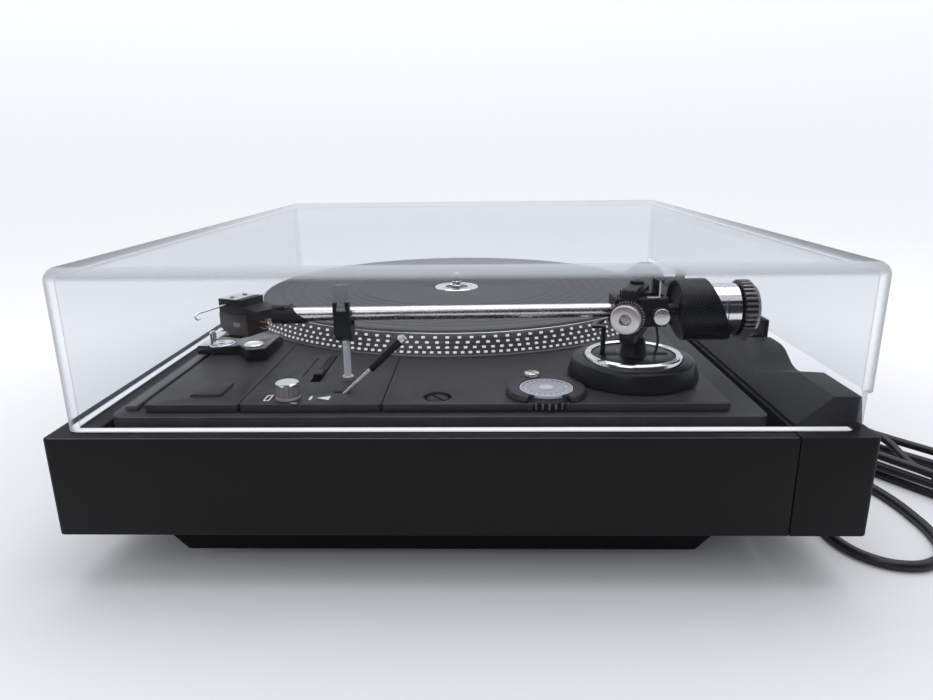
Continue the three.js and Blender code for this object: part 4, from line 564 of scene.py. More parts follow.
floor = stageCircle('floor', 'NGON')
backdrop = stageCircle('backdrop', 'NOTHING')
angles = [i / stage.sweepSteps * math.pi / 2 for i in range(1, stage.sweepSteps + 1)]
rings = [(stage.floorRadius + stage.sweep * math.sin(angle), stage.sweep * (1 - math.cos(angle)))
         for angle in angles]
edit(backdrop, 'EDGE')
growRings(stage.floorRadius, 0, rings + [(rings[-1][0], stage.height)])
bpy.ops.object.mode_set(mode='OBJECT')
bpy.ops.object.shade_smooth()
backdrop.visible_diffuse = False
backdrop.visible_shadow = False
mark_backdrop(floor, backdrop)

world = bpy.data.worlds.new('studio')
bpy.context.scene.world = world
world.use_nodes = True
background = world.node_tree.nodes['Background'].inputs
background[0].default_value = stage.worldTint
background[1].default_value = stage.world
for name, lamp in lamps.items():
    light = bpy.data.lights.new(name, 'AREA')
    light.shape = 'SQUARE'
    light.size = lamp.size
    light.energy = lamp.power
    holder = linked(name, light)
    holder.location = lamp.spot
    holder.rotation_euler = (-Vector(lamp.spot)).to_track_quat('-Z', 'Y').to_euler()
print('stage lit')

# Leads: the CAD routes, one curve from each relief to its plug.
floorHeight = -plinthTop
mains = Sizes(
    diameter=5.5, exit=(55, 207.1, -36),
    coil=Sizes(x=-12, y=232, heading=180, run=0, outer=42.6, spacing=0.9, layers=2, layerTurns=3),
    plugHeading=166, tailEnd=(-67, 197.4, floorHeight + 6))
signal = Sizes(
    diameter=5, exit=(-80, 197.1, -36),
    hank=Sizes(x=98, y=277, heading=33.8, run=84, outer=20.5, spacing=0.9, layers=3, layerTurns=1),
    plugHeight=6.5)
stepsPerTurn = 24
climbTurns = 0.25    # a winding climbs over this much before and after the end of a layer


def along(point, heading, distance, rise=0.0):
    turn = math.radians(heading)
    return (point[0] + distance * math.cos(turn), point[1] + distance * math.sin(turn), point[2] + rise)


def smoothStep(value, low, high):
    t = min(1, max(0, (value - low) / (high - low)))
    return t * t * (3 - 2 * t)


# Turns of a winding, in from the outside on the floor, then out and in by turns, a layer up each time.
def windingPoints(diameter, form):
    pitch = diameter + form.spacing
    half = form.run / 2
    runSteps = stepsPerTurn / 6 if half else 0
    bendSteps = stepsPerTurn / 2 - runSteps
    span = 2 * form.layerTurns
    centre = (form.x, form.y, 0)
    points = []
    for k in range(stepsPerTurn * form.layers * form.layerTurns + 1):
        turn = k / stepsPerTurn
        inward = turn % span
        radius = form.outer - pitch * min(inward, span - inward)
        climb = sum(smoothStep(turn, i * form.layerTurns - climbTurns, i * form.layerTurns + climbTurns)
                    for i in range(1, form.layers))
        step = k % stepsPerTurn
        side = 1 if step < stepsPerTurn / 2 else -1
        into = step % (stepsPerTurn // 2)
        if into < runSteps:
            a, b = side * (form.run * into / runSteps - half), side * radius
        else:
            angle = math.pi / 2 - math.pi * (into - runSteps) / bendSteps
            a, b = side * (half + radius * math.cos(angle)), side * radius * math.sin(angle)
        spot = along(along(centre, form.heading, a), form.heading + 90, b)
        points.append((spot[0], spot[1], floorHeight + diameter / 2 + pitch * climb))
    return points


mainsFloor = floorHeight + mains.diameter / 2
mainsTurns = windingPoints(mains.diameter, mains.coil)
mainsRoute = [
    mains.exit, along(mains.exit, 90, mains.diameter), (55.6, 219.6, -37.2), (59.5, 227.5, -41.5),
    (68, 232.4, -49), (79.5, 232, -58), (91, 227.5, -65.5), (103, 219, -70.8), (115.5, 209, -73),
    *[(x, y, mainsFloor) for x, y in [
        (129, 199.8), (144, 193.2), (160, 190.8), (175, 192.6), (187.3, 200.2), (193.4, 213), (191, 227.6),
        (180.6, 238.6), (165, 243.6), (147, 244.6), (128, 243.2), (110, 239), (92, 232), (74, 222.4),
        (56, 211), (37, 200.2), (17, 192.6)]],
    along(mainsTurns[0], 180, -2.5 * mains.diameter), along(mainsTurns[0], 180, -mains.diameter),
    *mainsTurns,
    along(mainsTurns[-1], 180, 2 * mains.diameter),
    along(mainsTurns[-1], 180, 4.5 * mains.diameter, -mains.diameter / 4),
    (-47, 192.2, floorHeight + 6), along(mains.tailEnd, mains.plugHeading, -mains.diameter),
    mains.tailEnd,
]
signalFloor = floorHeight + signal.diameter / 2
signalTurns = windingPoints(signal.diameter, signal.hank)
hankHeading = signal.hank.heading


def inHank(a, b, z):
    centre = (signal.hank.x, signal.hank.y, floorHeight + z)
    return along(along(centre, hankHeading, a), hankHeading + 90, b)


plugEnd = inHank(8, 0, signal.plugHeight)
signalRoute = [
    signal.exit, along(signal.exit, 90, signal.diameter), (-80, 211, -38), (-79.6, 221, -44),
    (-78.8, 231, -53), (-77, 242, -62.5), (-73, 254, -70), (-66, 266, -73.2),
    *[(x, y, signalFloor) for x, y in [(-55, 276.6), (-41, 283), (-25, 285.8), (-8, 285.6), (8, 281.6),
                                       (21, 274.6), (33, 267.6)]],
    along(signalTurns[0], hankHeading, -2.6 * signal.diameter - 0.3),
    along(signalTurns[0], hankHeading, -signal.diameter), *signalTurns,
    inHank(-33, 13.2, 14.4), inHank(-23, 9, 13.6), inHank(-14, 4.2, 11), inHank(-5, 0.8, 8),
    along(plugEnd, hankHeading, -signal.diameter), plugEnd,
]
mainsLead = roundCurve('mains_cord', [place(*point) for point in mainsRoute], mains.diameter, 4)
signalLead = roundCurve('signal_cord', [place(*point) for point in signalRoute], signal.diameter, 4)
show(mainsLead, cordJacket, 'case', 'mains_lead', 'mains_coil')
show(signalLead, cordJacket, 'case', 'signal_lead', 'signal_coil')
mainsPlug = softened('mains_plug', darkPlastic, 'case', width=1, segments=3)
signalPlug = softened('signal_plug', darkPlastic, 'case', width=0.3)
tuple(place(*mains.exit))
tuple(place(*signal.exit))
print('leads laid')

# Case: softened copies of its CAD nodes, and painted highlights as bright lines on the edges of the raised
# plates.
for node in ('plinth_frame', 'plinth_rear_section'):
    softened(node, plinthPaint, 'case', width=0.7, segments=3)
softened('bottom_pan', panPlastic, 'case', width=0.8)
softened('chassis_plate', deckPaint, 'case', width=0.5)
for node in ('front_cover', 'lever_cover', 'arm_cover'):
    softened(node, coverPlastic, 'case', width=0.35)
# painted highlight: the front trim strip takes the lighter edge paint
softened('front_trim_strip', highlightPaint, 'case', width=0.3)
highlightLine = Sizes(
    tops={'plinth_frame': 76, 'chassis_plate': 80, 'front_cover': 84, 'lever_cover': 84, 'arm_cover': 84},
    near=0.15, reach=1, width=0.4, inset=0.3, sunk=0.2, rise=0.03, soft=0.08)
# painted highlights: thin light blocks along the near top edge of each raised plate
for node, top in highlightLine.tops.items():
    spots = [nodes[node].matrix_world @ point.co / mm for point in nodes[node].data.vertices]
    onTop = [spot for spot in spots if abs(spot.z - top) < highlightLine.near]
    lineX = max(spot.x for spot in onTop) - highlightLine.inset
    onEdge = [spot.y for spot in onTop if spot.x > lineX]
    line = block(f'{node}_edge_highlight',
                 (lineX - highlightLine.width, min(onEdge) + highlightLine.reach, top - highlightLine.sunk),
                 (lineX, max(onEdge) - highlightLine.reach, top + highlightLine.rise))
    show(rounded(line, highlightLine.soft), highlightPaint, 'case')
softened('rear_rail', railPlastic, 'case', width=0.8, segments=3)
softened('motor_housing', bareSteel, 'case', width=0.5)
softened('transformer', bareSteel, 'case', width=0.8)

feet = Sizes(
    x=158, front=-108, rear=88, radius=17, waist=15, waistShare=0.6, topRadius=14, height=8.7, recess=5,
    bore=2.5, recessDepth=4, edge=1.2, soft=0.4, segments=64)
footProfile = [
    (feet.recess, feet.recessDepth), (feet.recess, 0), (feet.radius - feet.edge, 0),
    (feet.radius, feet.edge), (feet.waist, feet.height * feet.waistShare),
    (feet.topRadius, feet.height), (feet.bore, feet.height), (feet.bore, feet.recessDepth)]
for end in ('front', 'rear'):
    for side, x in (('left', -feet.x), ('right', feet.x)):
        foot = rounded(turned(f'foot_{end}_{side}_pad', footProfile, feet.segments), feet.soft)
        show(foot, footRubber, 'case', f'foot_{end}_{side}', at=spotAt(x, feet[end], floorHeight))
for node in ('mains_strain_relief', 'signal_strain_relief'):
    softened(node, darkPlastic, 'case')
for node in ('lid_hinge_left', 'lid_hinge_right'):
    softened(node, darkPlastic, 'lid')
print('case shown')

# Lid: a block with rounded corners, opened below and given its wall.
half, wall, rear = lid.halfWidth, lid.wall, lid.rear
lidTop, over = lid.top + plinthTop, lid.overrun
lidShell = block('lid_shell', (-half, lid.front, lid.bottom + plinthTop), (half, rear, lidTop))
edit(lidShell, 'EDGE')
chooseParts(lidShell, 'edges', lambda edge: edge.calc_length() < (lid.top + lid.bite) * mm)
bpy.ops.mesh.bevel(offset=lid.corner * mm, segments=lid.steps, affect='EDGES')
chooseParts(lidShell, 'edges', lambda edge: min(point.co.z for point in edge.verts) > (lidTop - lid.bite) * mm)
bpy.ops.mesh.bevel(offset=lid.brow * mm, segments=lid.steps, affect='EDGES')
bpy.ops.mesh.select_mode(type='FACE')
chooseParts(lidShell, 'faces', lambda face: face.normal.z < -0.9)
bpy.ops.mesh.delete(type='FACE')
bpy.ops.object.mode_set(mode='OBJECT')
modify(lidShell, 'SOLIDIFY', thickness=wall * mm, offset=-1, use_even_offset=True)
below, cutTop = plinthTop - over, lid.rearCut + plinthTop
rearGap = block('rearGap', (-half - over, rear - wall - lid.bite, below), (half + over, rear + over, cutTop))
# the inner corners are squared where the open lid passes the ends of the rail
railSide = half - wall - lid.railRoom
cornerGap = block('cornerGap', (-railSide, rear - lid.corner - lid.bite, below),
                  (railSide, rear - wall, cutTop))
heelZ = lid.bottom + lid.heelRadius + plinthTop
heelY = lid.heel - lid.heelRadius
heelGap = block('heelGap', (-half - over, heelY, below), (half + over, rear + over, heelZ))
heelEnd = half + 2 * over
heelRound = turned('heelRound', [(0, -heelEnd), (lid.heelRadius, -heelEnd), (lid.heelRadius, heelEnd),
                                 (0, heelEnd)], lid.heelSteps)
move(heelRound, shift(0, heelY, heelZ) @ upToRight)
cut(lidShell, rearGap, cornerGap, cut(heelGap, heelRound))
rounded(lidShell, lid.soft, angle=lid.softAngle)
show(lidShell, acrylic, 'lid', 'lid')
print('lid shown')

# Platter: a cone with four rows of dots, counted for two speeds at two mains frequencies.
platter = Sizes(
    x=-39, y=-8.3, radius=152.5, bottom=5.3, skirtTop=8.5, skirtWall=3, edge=0.4, coneFoot=(151.9, 8.9),
    coneHead=(146.2, 19.2), crown=145, crownRound=0.3, crownDrop=0.15, top=20.1, seat=144, web=17.5,
    webBottom=14.5, webRadius=138, hub=16, hubBottom=8.5, boss=8.2, bossTop=19.6, bore=3.9,
    rows=(216, 180, 160, 133), levelShares=(0.14, 0.385, 0.635, 0.885), dot=(0.5, 2.1, 1.4), dotSoft=0.16,
    ridge=0.22, ridgeShares=((-0.022, 0), (-0.008, 1), (0.008, 1), (0.022, 0)), segments=192, smoothAngle=24)
platterSpot = spotAt(platter.x, platter.y)
foot, head = Vector(platter.coneFoot), Vector(platter.coneHead)
slope = head - foot
outward = Vector((slope.y, -slope.x)).normalized()
cone = [foot]
for low, high in zip(platter.levelShares, platter.levelShares[1:]):
    for share, rise in platter.ridgeShares:
        cone.append(foot + slope * ((low + high) / 2 + share) + outward * platter.ridge * rise)
cone.append(head)
disc = turned('platter_disc', [
    (platter.bore, platter.hubBottom), (platter.hub, platter.hubBottom),
    (platter.hub, platter.webBottom), (platter.webRadius, platter.webBottom),
    (platter.radius - platter.skirtWall, platter.bottom),
    (platter.radius - platter.edge, platter.bottom),
    (platter.radius, platter.bottom + platter.edge), (platter.radius, platter.skirtTop),
    *[tuple(point) for point in cone],
    (platter.crown + platter.crownRound, platter.top - platter.crownDrop),
    (platter.crown, platter.top), (platter.seat, platter.top), (platter.seat, platter.web),
    (platter.boss, platter.web), (platter.boss, platter.bossTop), (platter.bore, platter.bossTop),
], platter.segments, platter.smoothAngle)
show(disc, platterPaint, 'platter', 'platter', at=platterSpot)
tilt = Matrix.Rotation(-math.atan2(outward.y, outward.x), 4, 'Y')
rows = []
for count, level in zip(platter.rows, platter.levelShares):
    spot = foot + slope * level
    dot = block('dots', [-side / 2 for side in platter.dot], [side / 2 for side in platter.dot])
    rounded(dot, platter.dotSoft, 1)
    rows.append(ringOf(move(dot, shift(spot.x, 0, spot.y) @ tilt), count))
dots = join(*rows)
dots.name = 'platter_dots'
show(dots, dotMetal, 'platter', at=platterSpot)
platterTrim = {
    'platter_crown_line': (chrome, [
        (144.05, 19.6), (145, 19.6), (145.35, 19.85), (145.1, 20.1), (144.6, 20.2), (144.05, 20.1)]),
    'platter_skirt_band': (skirtMetal, [
        (151.6, 5.7), (152.5, 5.7), (152.6, 5.9), (152.6, 8.3), (152.5, 8.5), (151.6, 8.5)])}
for name, (finish, profile) in platterTrim.items():
    show(turned(name, profile, platter.segments), finish, 'platter', at=platterSpot)

mat = Sizes(
    bore=17.4, foot=17.8, radius=143.6, edge=142.6, lip=138, lipTop=21.4, face=20.8, label=66, labelTop=20.1,
    labelEdge=18.6, slope=1, drop=0.2, round=0.4, boreDrop=0.5, step=3,
    ribs=(131, 124, 117, 110, 103, 96, 89, 82, 75), rib=0.3, ribWidth=0.7, segments=192, smoothAngle=40)
ribs = [point for radius in mat.ribs for point in (
    (radius + mat.ribWidth, mat.face), (radius, mat.face - mat.rib),
    (radius - mat.ribWidth, mat.face))]
matRubberDisc = turned('platter_mat_rubber', [
    (mat.bore, mat.foot), (mat.radius, mat.foot), (mat.radius, mat.lipTop - mat.slope),
    (mat.radius - mat.round, mat.lipTop - mat.drop), (mat.edge, mat.lipTop),
    (mat.lip, mat.lipTop), (mat.lip - mat.slope, mat.face), *ribs,
    (mat.label + mat.step, mat.face), (mat.label, mat.labelTop),
    (mat.labelEdge, mat.labelTop), (mat.bore, mat.labelTop - mat.boreDrop)],
    mat.segments, mat.smoothAngle)
show(matRubberDisc, matRubber, 'platter', 'platter_mat', at=platterSpot)
hubRing = Sizes(profile=[
    (8.6, 17.8), (16.9, 17.8), (16.9, 19.6), (16.3, 20.2), (11.2, 20.3), (10.6, 20), (9.2, 20.2),
    (8.6, 19.9)])
show(turned('hub_ring_disc', **hubRing), chrome, 'platter', 'hub_ring', at=platterSpot)
rotor = Sizes(segments=48, profile=[
    (0, -30), (3.4, -30), (3.4, 5.5), (50, 5.5), (50, 8.2), (3.55, 8.2), (3.55, 21.4), (3.75, 21.7),
    (3.75, 24), (3.4, 24.5), (3.4, 28.6), (3, 30), (2.2, 30.8), (1.2, 31.15), (0, 31.2)])
show(turned('rotor_spindle_shaft', **rotor), chrome, 'platter', 'rotor_spindle', at=platterSpot)
print('platter shown')

# Controls.
controlSpots = Sizes(
    speedWell=(101, -141), speedButton=(111, -118.6), transportScrew=(178.5, -9.6), slottedScrew=(155.5, 36.5),
    restPost=(151.6, -57.2))
softened('speed_block', glossBlack, 'case', width=0.5, segments=3)
blockStrip = Sizes(low=(73, -152.6, 89.3), high=(106.6, -147.4, 89.55))
show(rounded(block('speed_block_strip', **blockStrip), 0.1), plateSilver, 'case')
wellRim = Sizes(profile=[(6.45, 12.9), (7.5, 12.9), (7.5, 13.5), (7.3, 13.7), (6.6, 13.7), (6.45, 13.5)])
show(turned('speed_well_rim', **wellRim), chrome, 'case', at=spotAt(*controlSpots.speedWell))
softened('speed_lever', chrome, 'speed_lever', width=0.2)
button = Sizes(segments=64, profile=[
    (0, 12.5), (5.5, 12.5), (5.5, 15.6), (4.9, 16.2), (4.2, 16.2), (3.8, 15.9), (0, 15.7)])
show(turned('speed_button_cap', **button), plateSilver, 'speed_button', 'speed_button',
     at=spotAt(*controlSpots.speedButton))
softened('start_slider', blackPlastic, 'start_slider', width=0.3)

knob = Sizes(
    x=181, y=-80, stem=2, bottom=4.6, foot=8.3, skirt=5.9, skirtTop=9, body=5.3, bodyLow=9.7, bodyTop=14.4,
    groove=4.9, disc=5.45, discLow=15.1, top=16.4, edge=0.3, round=0.35, flutes=16, flute=0.45, fluteRim=5.1,
    notchTurn=12, notch=1.3, notchLow=12.3, notchFromShare=0.55, notchToShare=2, overrun=1)
knobBody = turned('selector_knob_body', [
    (0, knob.bottom), (knob.stem, knob.bottom), (knob.stem, knob.foot), (knob.skirt, knob.foot),
    (knob.skirt, knob.skirtTop), (knob.body, knob.bodyLow), (knob.body, knob.bodyTop),
    (knob.groove, knob.bodyTop), (knob.groove, knob.discLow), (0, knob.discLow)], knob.flutes * 4)
knurl(knobBody, knob.flutes, knob.flute, knob.fluteRim, knob.bodyLow, knob.bodyTop)
knobDisc = turned('selector_knob_top', [
    (0, knob.discLow), (knob.disc - knob.edge, knob.discLow),
    (knob.disc, knob.discLow + knob.edge), (knob.disc, knob.top - knob.round),
    (knob.disc - knob.round, knob.top), (0, knob.top)])
notch = block('knobNotch', (knob.disc * knob.notchFromShare, -knob.notch, knob.notchLow),
              (knob.disc * knob.notchToShare, knob.notch, knob.top + knob.overrun))
cut(knobDisc, move(notch, turnZ(knob.notchTurn)))
show(knobBody, knobGrey, 'selector', 'selector_knob', at=spotAt(knob.x, knob.y))
show(knobDisc, chrome, 'selector', at=spotAt(knob.x, knob.y))

# plain marks beside the knob: a frame, a bar and a wedge
deckMarks = Sizes(
    low=83.9, high=84.06, holeLow=83, holeHigh=85, frame=((176, -91.4), (184, -88.4)),
    hole=((177, -90.7), (183, -89.1)), bar=((177.6, -70.2), (182.8, -69)),
    wedge=[(180.2, -66.8), (177.4, -60.6), (183, -60.6)], dash=((186.6, -77.4), (187.6, -74.6)))


def deckMark(name, low=deckMarks.low, high=deckMarks.high):
    near, far = deckMarks[name]
    return block(name, (*near, low), (*far, high))


marks = join(cut(deckMark('frame'), deckMark('hole', deckMarks.holeLow, deckMarks.holeHigh)),
             deckMark('bar'), outlined('wedge', deckMarks.wedge, deckMarks.low, deckMarks.high),
             deckMark('dash'))
marks.name = 'deck_marks'
show(marks, legendSilver, 'case')
softened('cue_lever', blackPlastic, 'cue_lever', width=0.15)
cue = Sizes(
    x=172, y=-59.6, z=3, lean=46.8, segments=32, rod=[(0, 2.5), (1, 2.5), (1, 24.4), (0, 24.4)],
    tip=[(0, 44.8), (2.1, 44.8), (2.1, 47), (1.6, 47.5), (0, 47.5)])
leverSpot = spotAt(cue.x, cue.y, cue.z) @ Matrix.Rotation(-math.radians(cue.lean), 4, 'X')
for part in ('rod', 'tip'):
    show(turned('cue_lever_' + part, cue[part], cue.segments), plateSilver, 'cue_lever', at=leverSpot)


def slottedHead(name, radius, low, top, slot, depth, turn=36, edge=0.5, bulge=0.15, segments=64):
    head = turned(name, [(0, low), (radius, low), (radius, top - edge), (radius - bulge, top - bulge),
                         (radius - edge, top), (0, top)], segments)
    groove = block('groove', (-radius * 2, -slot / 2, top - depth), (radius * 2, slot / 2, top + depth))
    return cut(head, move(groove, turnZ(turn)))


transportScrew = Sizes(radius=5, low=4.3, top=7.4, slot=1.2, depth=1.2)
show(slottedHead('transport_screw_head', **transportScrew), darkPlastic, 'case', 'transport_screw',
     at=spotAt(*controlSpots.transportScrew))
slottedScrew = Sizes(radius=3.8, low=10.9, top=12.5, slot=1.2, depth=1.3)
show(slottedHead('slotted_screw_head', **slottedScrew), plateSilver, 'case', 'slotted_screw',
     at=spotAt(*controlSpots.slottedScrew))

skate = Sizes(
    x=172.4, y=42.3, teeth=36, tooth=((16.8, -0.42, 5.1), (17.8, 0.42, 8.2)), toothSoft=0.15, ticks=24,
    tick=((9.4, -0.11, 10.2), (10.8, 0.11, 10.3)))
skateSpot = spotAt(skate.x, skate.y)
softened('antiskate_bezel', coverPlastic, 'case', width=0.35, segments=3)
skateWheel = Sizes(segments=144, profile=[
    (0, 4.6), (17.2, 4.6), (17.3, 4.9), (17.3, 8.3), (16.9, 8.7), (0, 8.7)])
show(turned('antiskate_wheel_body', **skateWheel), blackPlastic, 'antiskate', 'antiskate_wheel', at=skateSpot)
teeth = ringOf(rounded(block('antiskate_ribs', *skate.tooth), skate.toothSoft), skate.teeth)
show(teeth, skirtMetal, 'antiskate', at=skateSpot)
skateDisc = Sizes(profile=[
    (0, 9), (12.8, 9), (12.8, 10.1), (12.4, 10.5), (11.4, 10.5), (11.1, 10.2), (9, 10.2), (8.8, 10.4),
    (8.3, 10.4), (8.1, 10.2), (3.4, 10.2), (3, 10.5), (0, 10.5)])
show(turned('antiskate_disc_clear', **skateDisc), clearDisc, 'antiskate', 'antiskate_disc', at=skateSpot)
skateTrim = {
    'antiskate_rim': (96, [
        (12.05, 10.2), (12.5, 10.15), (12.82, 10.05), (12.7, 10.45), (12.35, 10.52), (12.05, 10.45)]),
    'antiskate_boss': (64, [(0, 10.1), (3.3, 10.1), (3.3, 10.4), (2.9, 10.52), (0, 10.52)])}
for name, (segments, profile) in skateTrim.items():
    show(turned(name, profile, segments), clearPart, 'antiskate', at=skateSpot)
show(ringOf(block('antiskate_ticks', *skate.tick), skate.ticks), legendSilver, 'antiskate', at=skateSpot)
softened('rest_post', clearPart, 'case', width=0.15)
postFoot = Sizes(segments=48, profile=[(1.9, 8.02), (2.8, 8.02), (2.85, 9.6), (2.5, 10.06), (1.9, 10.06)])
show(turned('rest_post_foot', **postFoot), plateSilver, 'case', at=spotAt(*controlSpots.restPost))
softened('rest_clamp', blackPlastic, 'case', width=0.3)
softened('rest_lock', smokeClear, 'rest_lock', width=0.2)
print('controls shown')

# Arm base and bearing.
pivot = Sizes(x=147, y=88.5, z=42.4, gimbalTurn=-23.2, armTurn=1.8)
baseSpot = spotAt(pivot.x, pivot.y)
baseRing = Sizes(segments=128, profile=[
    (9, 8.3), (32.2, 8.3), (32.6, 8.7), (32.6, 10.2), (31.4, 14.6), (30.7, 17), (30.2, 17.6), (29.6, 17.8),
    (25.4, 18.2), (24.9, 17.9), (24.9, 10), (9, 10)])
show(turned('arm_base_ring', **baseRing), blackPlastic, 'case', 'arm_base', at=baseSpot)
heightRing = Sizes(segments=128, marks=4, mark=((20, -0.3, 19.7), (25.5, 0.3, 21)), firstTurn=45, profile=[
    (21, 10.3), (24.5, 10.3), (24.5, 19.2), (24.2, 19.8), (23.6, 20.2), (22.9, 20.2), (22.5, 19.9),
    (22.1, 20.2), (21.6, 20.2), (21.1, 19.8), (21, 19.4)])
collar = turned('height_ring_collar', heightRing.profile, heightRing.segments)
for i in range(heightRing.marks):
    markTurn = turnZ(heightRing.firstTurn + 360 / heightRing.marks * i)
    cut(collar, move(block('mark', *heightRing.mark), markTurn))
show(collar, chrome, 'height_ring', 'height_ring', at=baseSpot)
softened('turret_plate', blackPlastic, 'turret', width=0.3)
# painted shade: the slots are thin dark sheets on the plate, standing in for the dark openings
turretSlot = Sizes(near=9, far=15, half=2.6, low=19.2, high=19.34, steps=8)
for name, side in (('turret_slot_left', -1), ('turret_slot_right', 1)):
    outline = []
    for centre, start in ((turretSlot.far, 0), (turretSlot.near, 180)):
        for i in range(turretSlot.steps + 1):
            spot = along((0, centre, 0), start + 180 * i / turretSlot.steps, turretSlot.half)
            outline.append((spot[0], side * spot[1]))
    show(outlined(name, outline, turretSlot.low, turretSlot.high), panPlastic, 'turret', at=baseSpot)
armLeads = Sizes(diameter=0.9, shifts=(0, 1.5), points=[
    (1.5, 8.6, 38.5), (2.5, 10.4, 33), (2, 11.4, 26), (1, 10.6, 19.8)])
for i, aside in enumerate(armLeads.shifts):
    lead = wire(f'arm_lead_wire_{i + 1}', [(x + aside, y, z) for x, y, z in armLeads.points],
                armLeads.diameter, baseSpot)
    show(lead, cordJacket, 'bearing')
softened('lift_bar', blackPlastic, 'lift_bar', width=0.2)
pivotSpot = spotAt(pivot.x, pivot.y, pivot.z)
armSpot = pivotSpot @ turnZ(pivot.armTurn)
gimbalSpot = pivotSpot @ turnZ(pivot.gimbalTurn)
dialSpot = gimbalSpot @ upToRight
softened('gimbal_frame', darkPlastic, 'bearing')
gimbalGrip = Sizes(ribs=9, pitch=0.95, rib=((18.9, -4.1, 9.4), (19.5, -3.55, 13.2)))
gripRib = block('gimbal_end_grip', *gimbalGrip.rib)
modify(gripRib, 'ARRAY', count=gimbalGrip.ribs, use_relative_offset=False, use_constant_offset=True,
       constant_offset_displace=(0, gimbalGrip.pitch * mm, 0))
show(gripRib, darkPlastic, 'bearing', at=gimbalSpot)
pivotCap = Sizes(segments=48, profile=[
    (0, 13.3), (3.4, 13.3), (3.4, 14.6), (3, 15), (1.4, 15), (1.2, 14.7), (0, 14.7)])
show(turned('gimbal_pivot_cap', **pivotCap), blackPlastic, 'bearing', at=gimbalSpot)
forceScale = Sizes(ticks=36, tick=((7.45, -0.13, 19.25), (8.15, 0.13, 19.36)))
forceTicks = ringOf(block('force_scale_ticks', *forceScale.tick), forceScale.ticks)
show(forceTicks, legendSilver, 'bearing', at=dialSpot)
forceDial = Sizes(teeth=44, depth=0.35, rim=7, low=19.5, high=24.45, profile=[
    (0, 19.6), (7.2, 19.6), (7.2, 24.4), (6.75, 25.05), (6.4, 25.2), (3, 25.2), (2.7, 25), (2.7, 23),
    (0, 23)])
dialScrew = Sizes(radius=2.5, low=22.9, top=24.1, slot=0.8, depth=0.7, turn=-20)
lockKnob = Sizes(teeth=28, depth=0.3, rim=4, low=8.1, high=14.55, spot=(0, 9.2, -0.7), profile=[
    (0, 6.7), (1.4, 6.7), (1.4, 8.2), (4.2, 8.2), (4.2, 14.5), (3.8, 14.95), (3.6, 15), (0, 15)])


def knurled(name, size):
    piece = turned(name, size.profile, size.teeth * 4)
    return knurl(piece, size.teeth, size.depth, size.rim, size.low, size.high)


show(knurled('force_dial_body', forceDial), dialMetal, 'force_dial', 'force_dial', at=dialSpot)
show(slottedHead('force_dial_screw', **dialScrew), bareSteel, 'force_dial', at=dialSpot)
knobSpot = armSpot @ shift(*lockKnob.spot) @ upToRight
show(knurled('lock_knob_body', lockKnob), satinMetal, 'lock_knob', 'lock_knob', at=knobSpot)
softened('arm_cradle', darkPlastic, 'arm')
stirrup = Sizes(
    plate=((-5.5, 9.4, 7.3), (6.6, 10, 15.4)), foot=((3.5, 3.8, 7.3), (6.6, 9.6, 7.9)),
    edge=((6.55, 9.35, 7.3), (6.75, 10.05, 15.4)), lip=((6.55, 3.8, 7.25), (6.75, 9.6, 7.95)))
for name, parts, finish in (('arm_stirrup', ('plate', 'foot'), darkPlastic),
                            ('arm_stirrup_edge', ('edge', 'lip'), plateSilver)):
    piece = join(*[block(name, *stirrup[part]) for part in parts])
    show(piece, finish, 'arm', at=armSpot)

# Tone arm.
tubeSpot = armSpot @ upToBack
armTube = Sizes(segments=64, profile=[(2.6, -175), (3.45, -175), (3.45, -6), (2.6, -6)])
show(turned('arm_tube_pipe', **armTube), satinMetal, 'arm', 'arm_tube', at=tubeSpot)
headshell = Sizes(
    y=-174, turn=-25.5, gap=((8.6, -40, -6), (40, -20, 12)), plate=((-7.7, -36.8, 5.3), (7.7, -22.4, 6.85)),
    step=((-9, -26.2, 6.3), (9, -20, 8)), screws=((-4.6, -31, 0.3), (4.6, -31, 0.3)),
    tag=((7.35, -29, -7.4), (7.6, -24.8, -5.2)), soft=0.2, tagSoft=0.08)
fingerLift = Sizes(diameter=0.9, points=[
    (7, -32, 4.1), (13, -32, 3.8), (22, -32.3, 3.3), (27, -32.6, 2.9), (28.6, -32.3, 1.7), (27.6, -32, 0.4),
    (25.8, -32, 0.6)])
headSpot = armSpot @ shift(0, headshell.y, 0) @ turnZ(headshell.turn)
shell = softened('headshell', darkPlastic, 'arm', width=0.25)
cut(shell, move(block('fingerGap', *headshell.gap), headSpot))
show(wire('finger_lift_rod', fingerLift.points, fingerLift.diameter, headSpot), plateSilver, 'arm')
headPlate = cut(block('head_top_plate', *headshell.plate), block('plateStep', *headshell.step))
show(rounded(headPlate, headshell.soft), plateSilver, 'arm', at=headSpot)
plateScrew = Sizes(radius=1.3, low=6.3, top=7.3, slot=0.4, depth=0.4, turn=30)
plateScrews = join(*[move(slottedHead('plateScrew', **plateScrew), shift(*spot)) for spot in headshell.screws])
plateScrews.name = 'head_plate_screws'
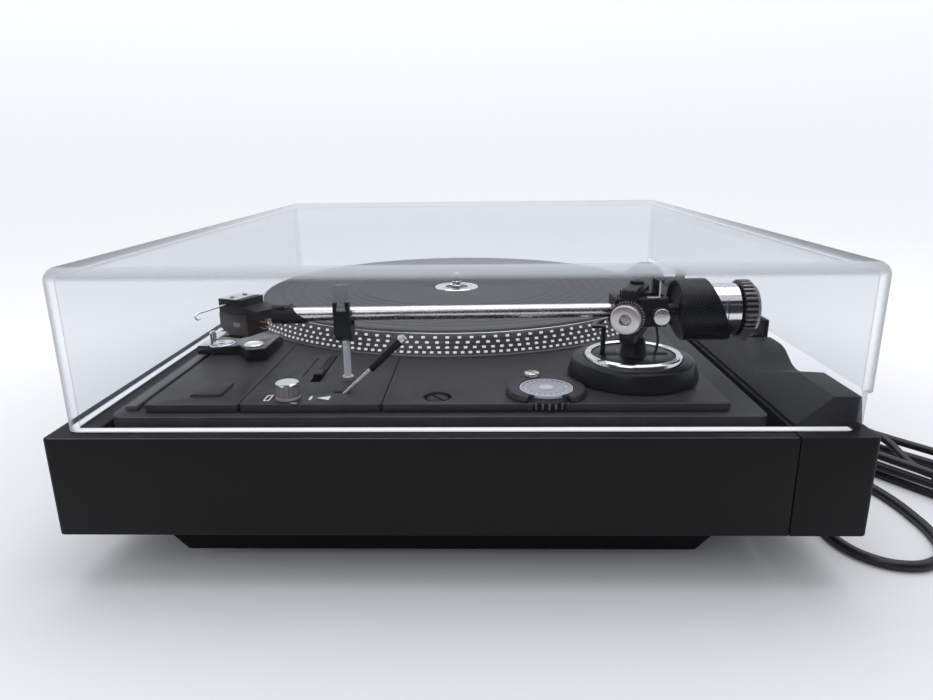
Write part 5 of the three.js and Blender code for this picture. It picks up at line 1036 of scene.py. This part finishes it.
show(plateScrews, bareSteel, 'arm', at=headSpot)
cartridgeWires = Sizes(diameter=0.56, starts=((-1.7, -4.65), (1.7, -4.65), (-1.7, -8.05), (1.7, -8.05)))
for i, (u, z) in enumerate(cartridgeWires.starts):
    lead = wire(f'cartridge_wire_{i + 1}', [(u, -16.8, z), (u, -14.2, z - 0.4), (u * 1.1, -11, z + 1.2),
                                            (u * 0.8, -8.5, -2.2), (u * 0.6, -7.5, -1.2)],
                cartridgeWires.diameter, headSpot)
    show(lead, leadGold, 'arm')
softened('cartridge', brownPlastic, 'arm', width=0.25)
tag = block('cartridge_tag', *headshell.tag)
show(rounded(tag, headshell.tagSoft), legendRose, 'arm', at=headSpot)
softened('stylus', blackPlastic, 'arm', width=0.12)
softened('weight_housing', blackPlastic, 'arm')
weightBush = Sizes(segments=48, profile=[(3.3, 26.4), (8, 26.4), (8, 47.5), (3.3, 47.5)])
show(turned('weight_bush_tube', **weightBush), bareSteel, 'weight_bush', 'weight_bush', at=tubeSpot)
drum = Sizes(profile=[
    (8.3, 26.7), (12.2, 26.7), (12.8, 27.3), (12.8, 41), (12.5, 41.3), (12.5, 42), (12.8, 42.3), (12.8, 48.6),
    (12.2, 49.2), (8.3, 49.2)])
show(turned('counterweight_drum', **drum), chrome, 'counterweight', 'counterweight', at=tubeSpot)
gripRing = Sizes(profile=[
    (3.3, 50.8), (3.3, 49.9), (13.3, 49.9), (13.6, 50.2), (13.6, 56), (12, 58.1), (11.5, 58.3), (5, 58.3),
    (4.5, 57.8), (1, 57.8), (1, 50.8)])
show(turned('weight_grip_ring_body', **gripRing), glossBlack, 'counterweight', 'weight_grip_ring', at=tubeSpot)
weightGrip = Sizes(ribs=34, soft=0.2, rib=((13.3, -0.6, 50.3), (14.5, 0.6, 55.6)))
gripRibs = ringOf(rounded(block('weight_grip_ribs', *weightGrip.rib), weightGrip.soft), weightGrip.ribs)
show(gripRibs, skirtMetal, 'counterweight', at=tubeSpot)
print('arm shown')

low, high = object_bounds()
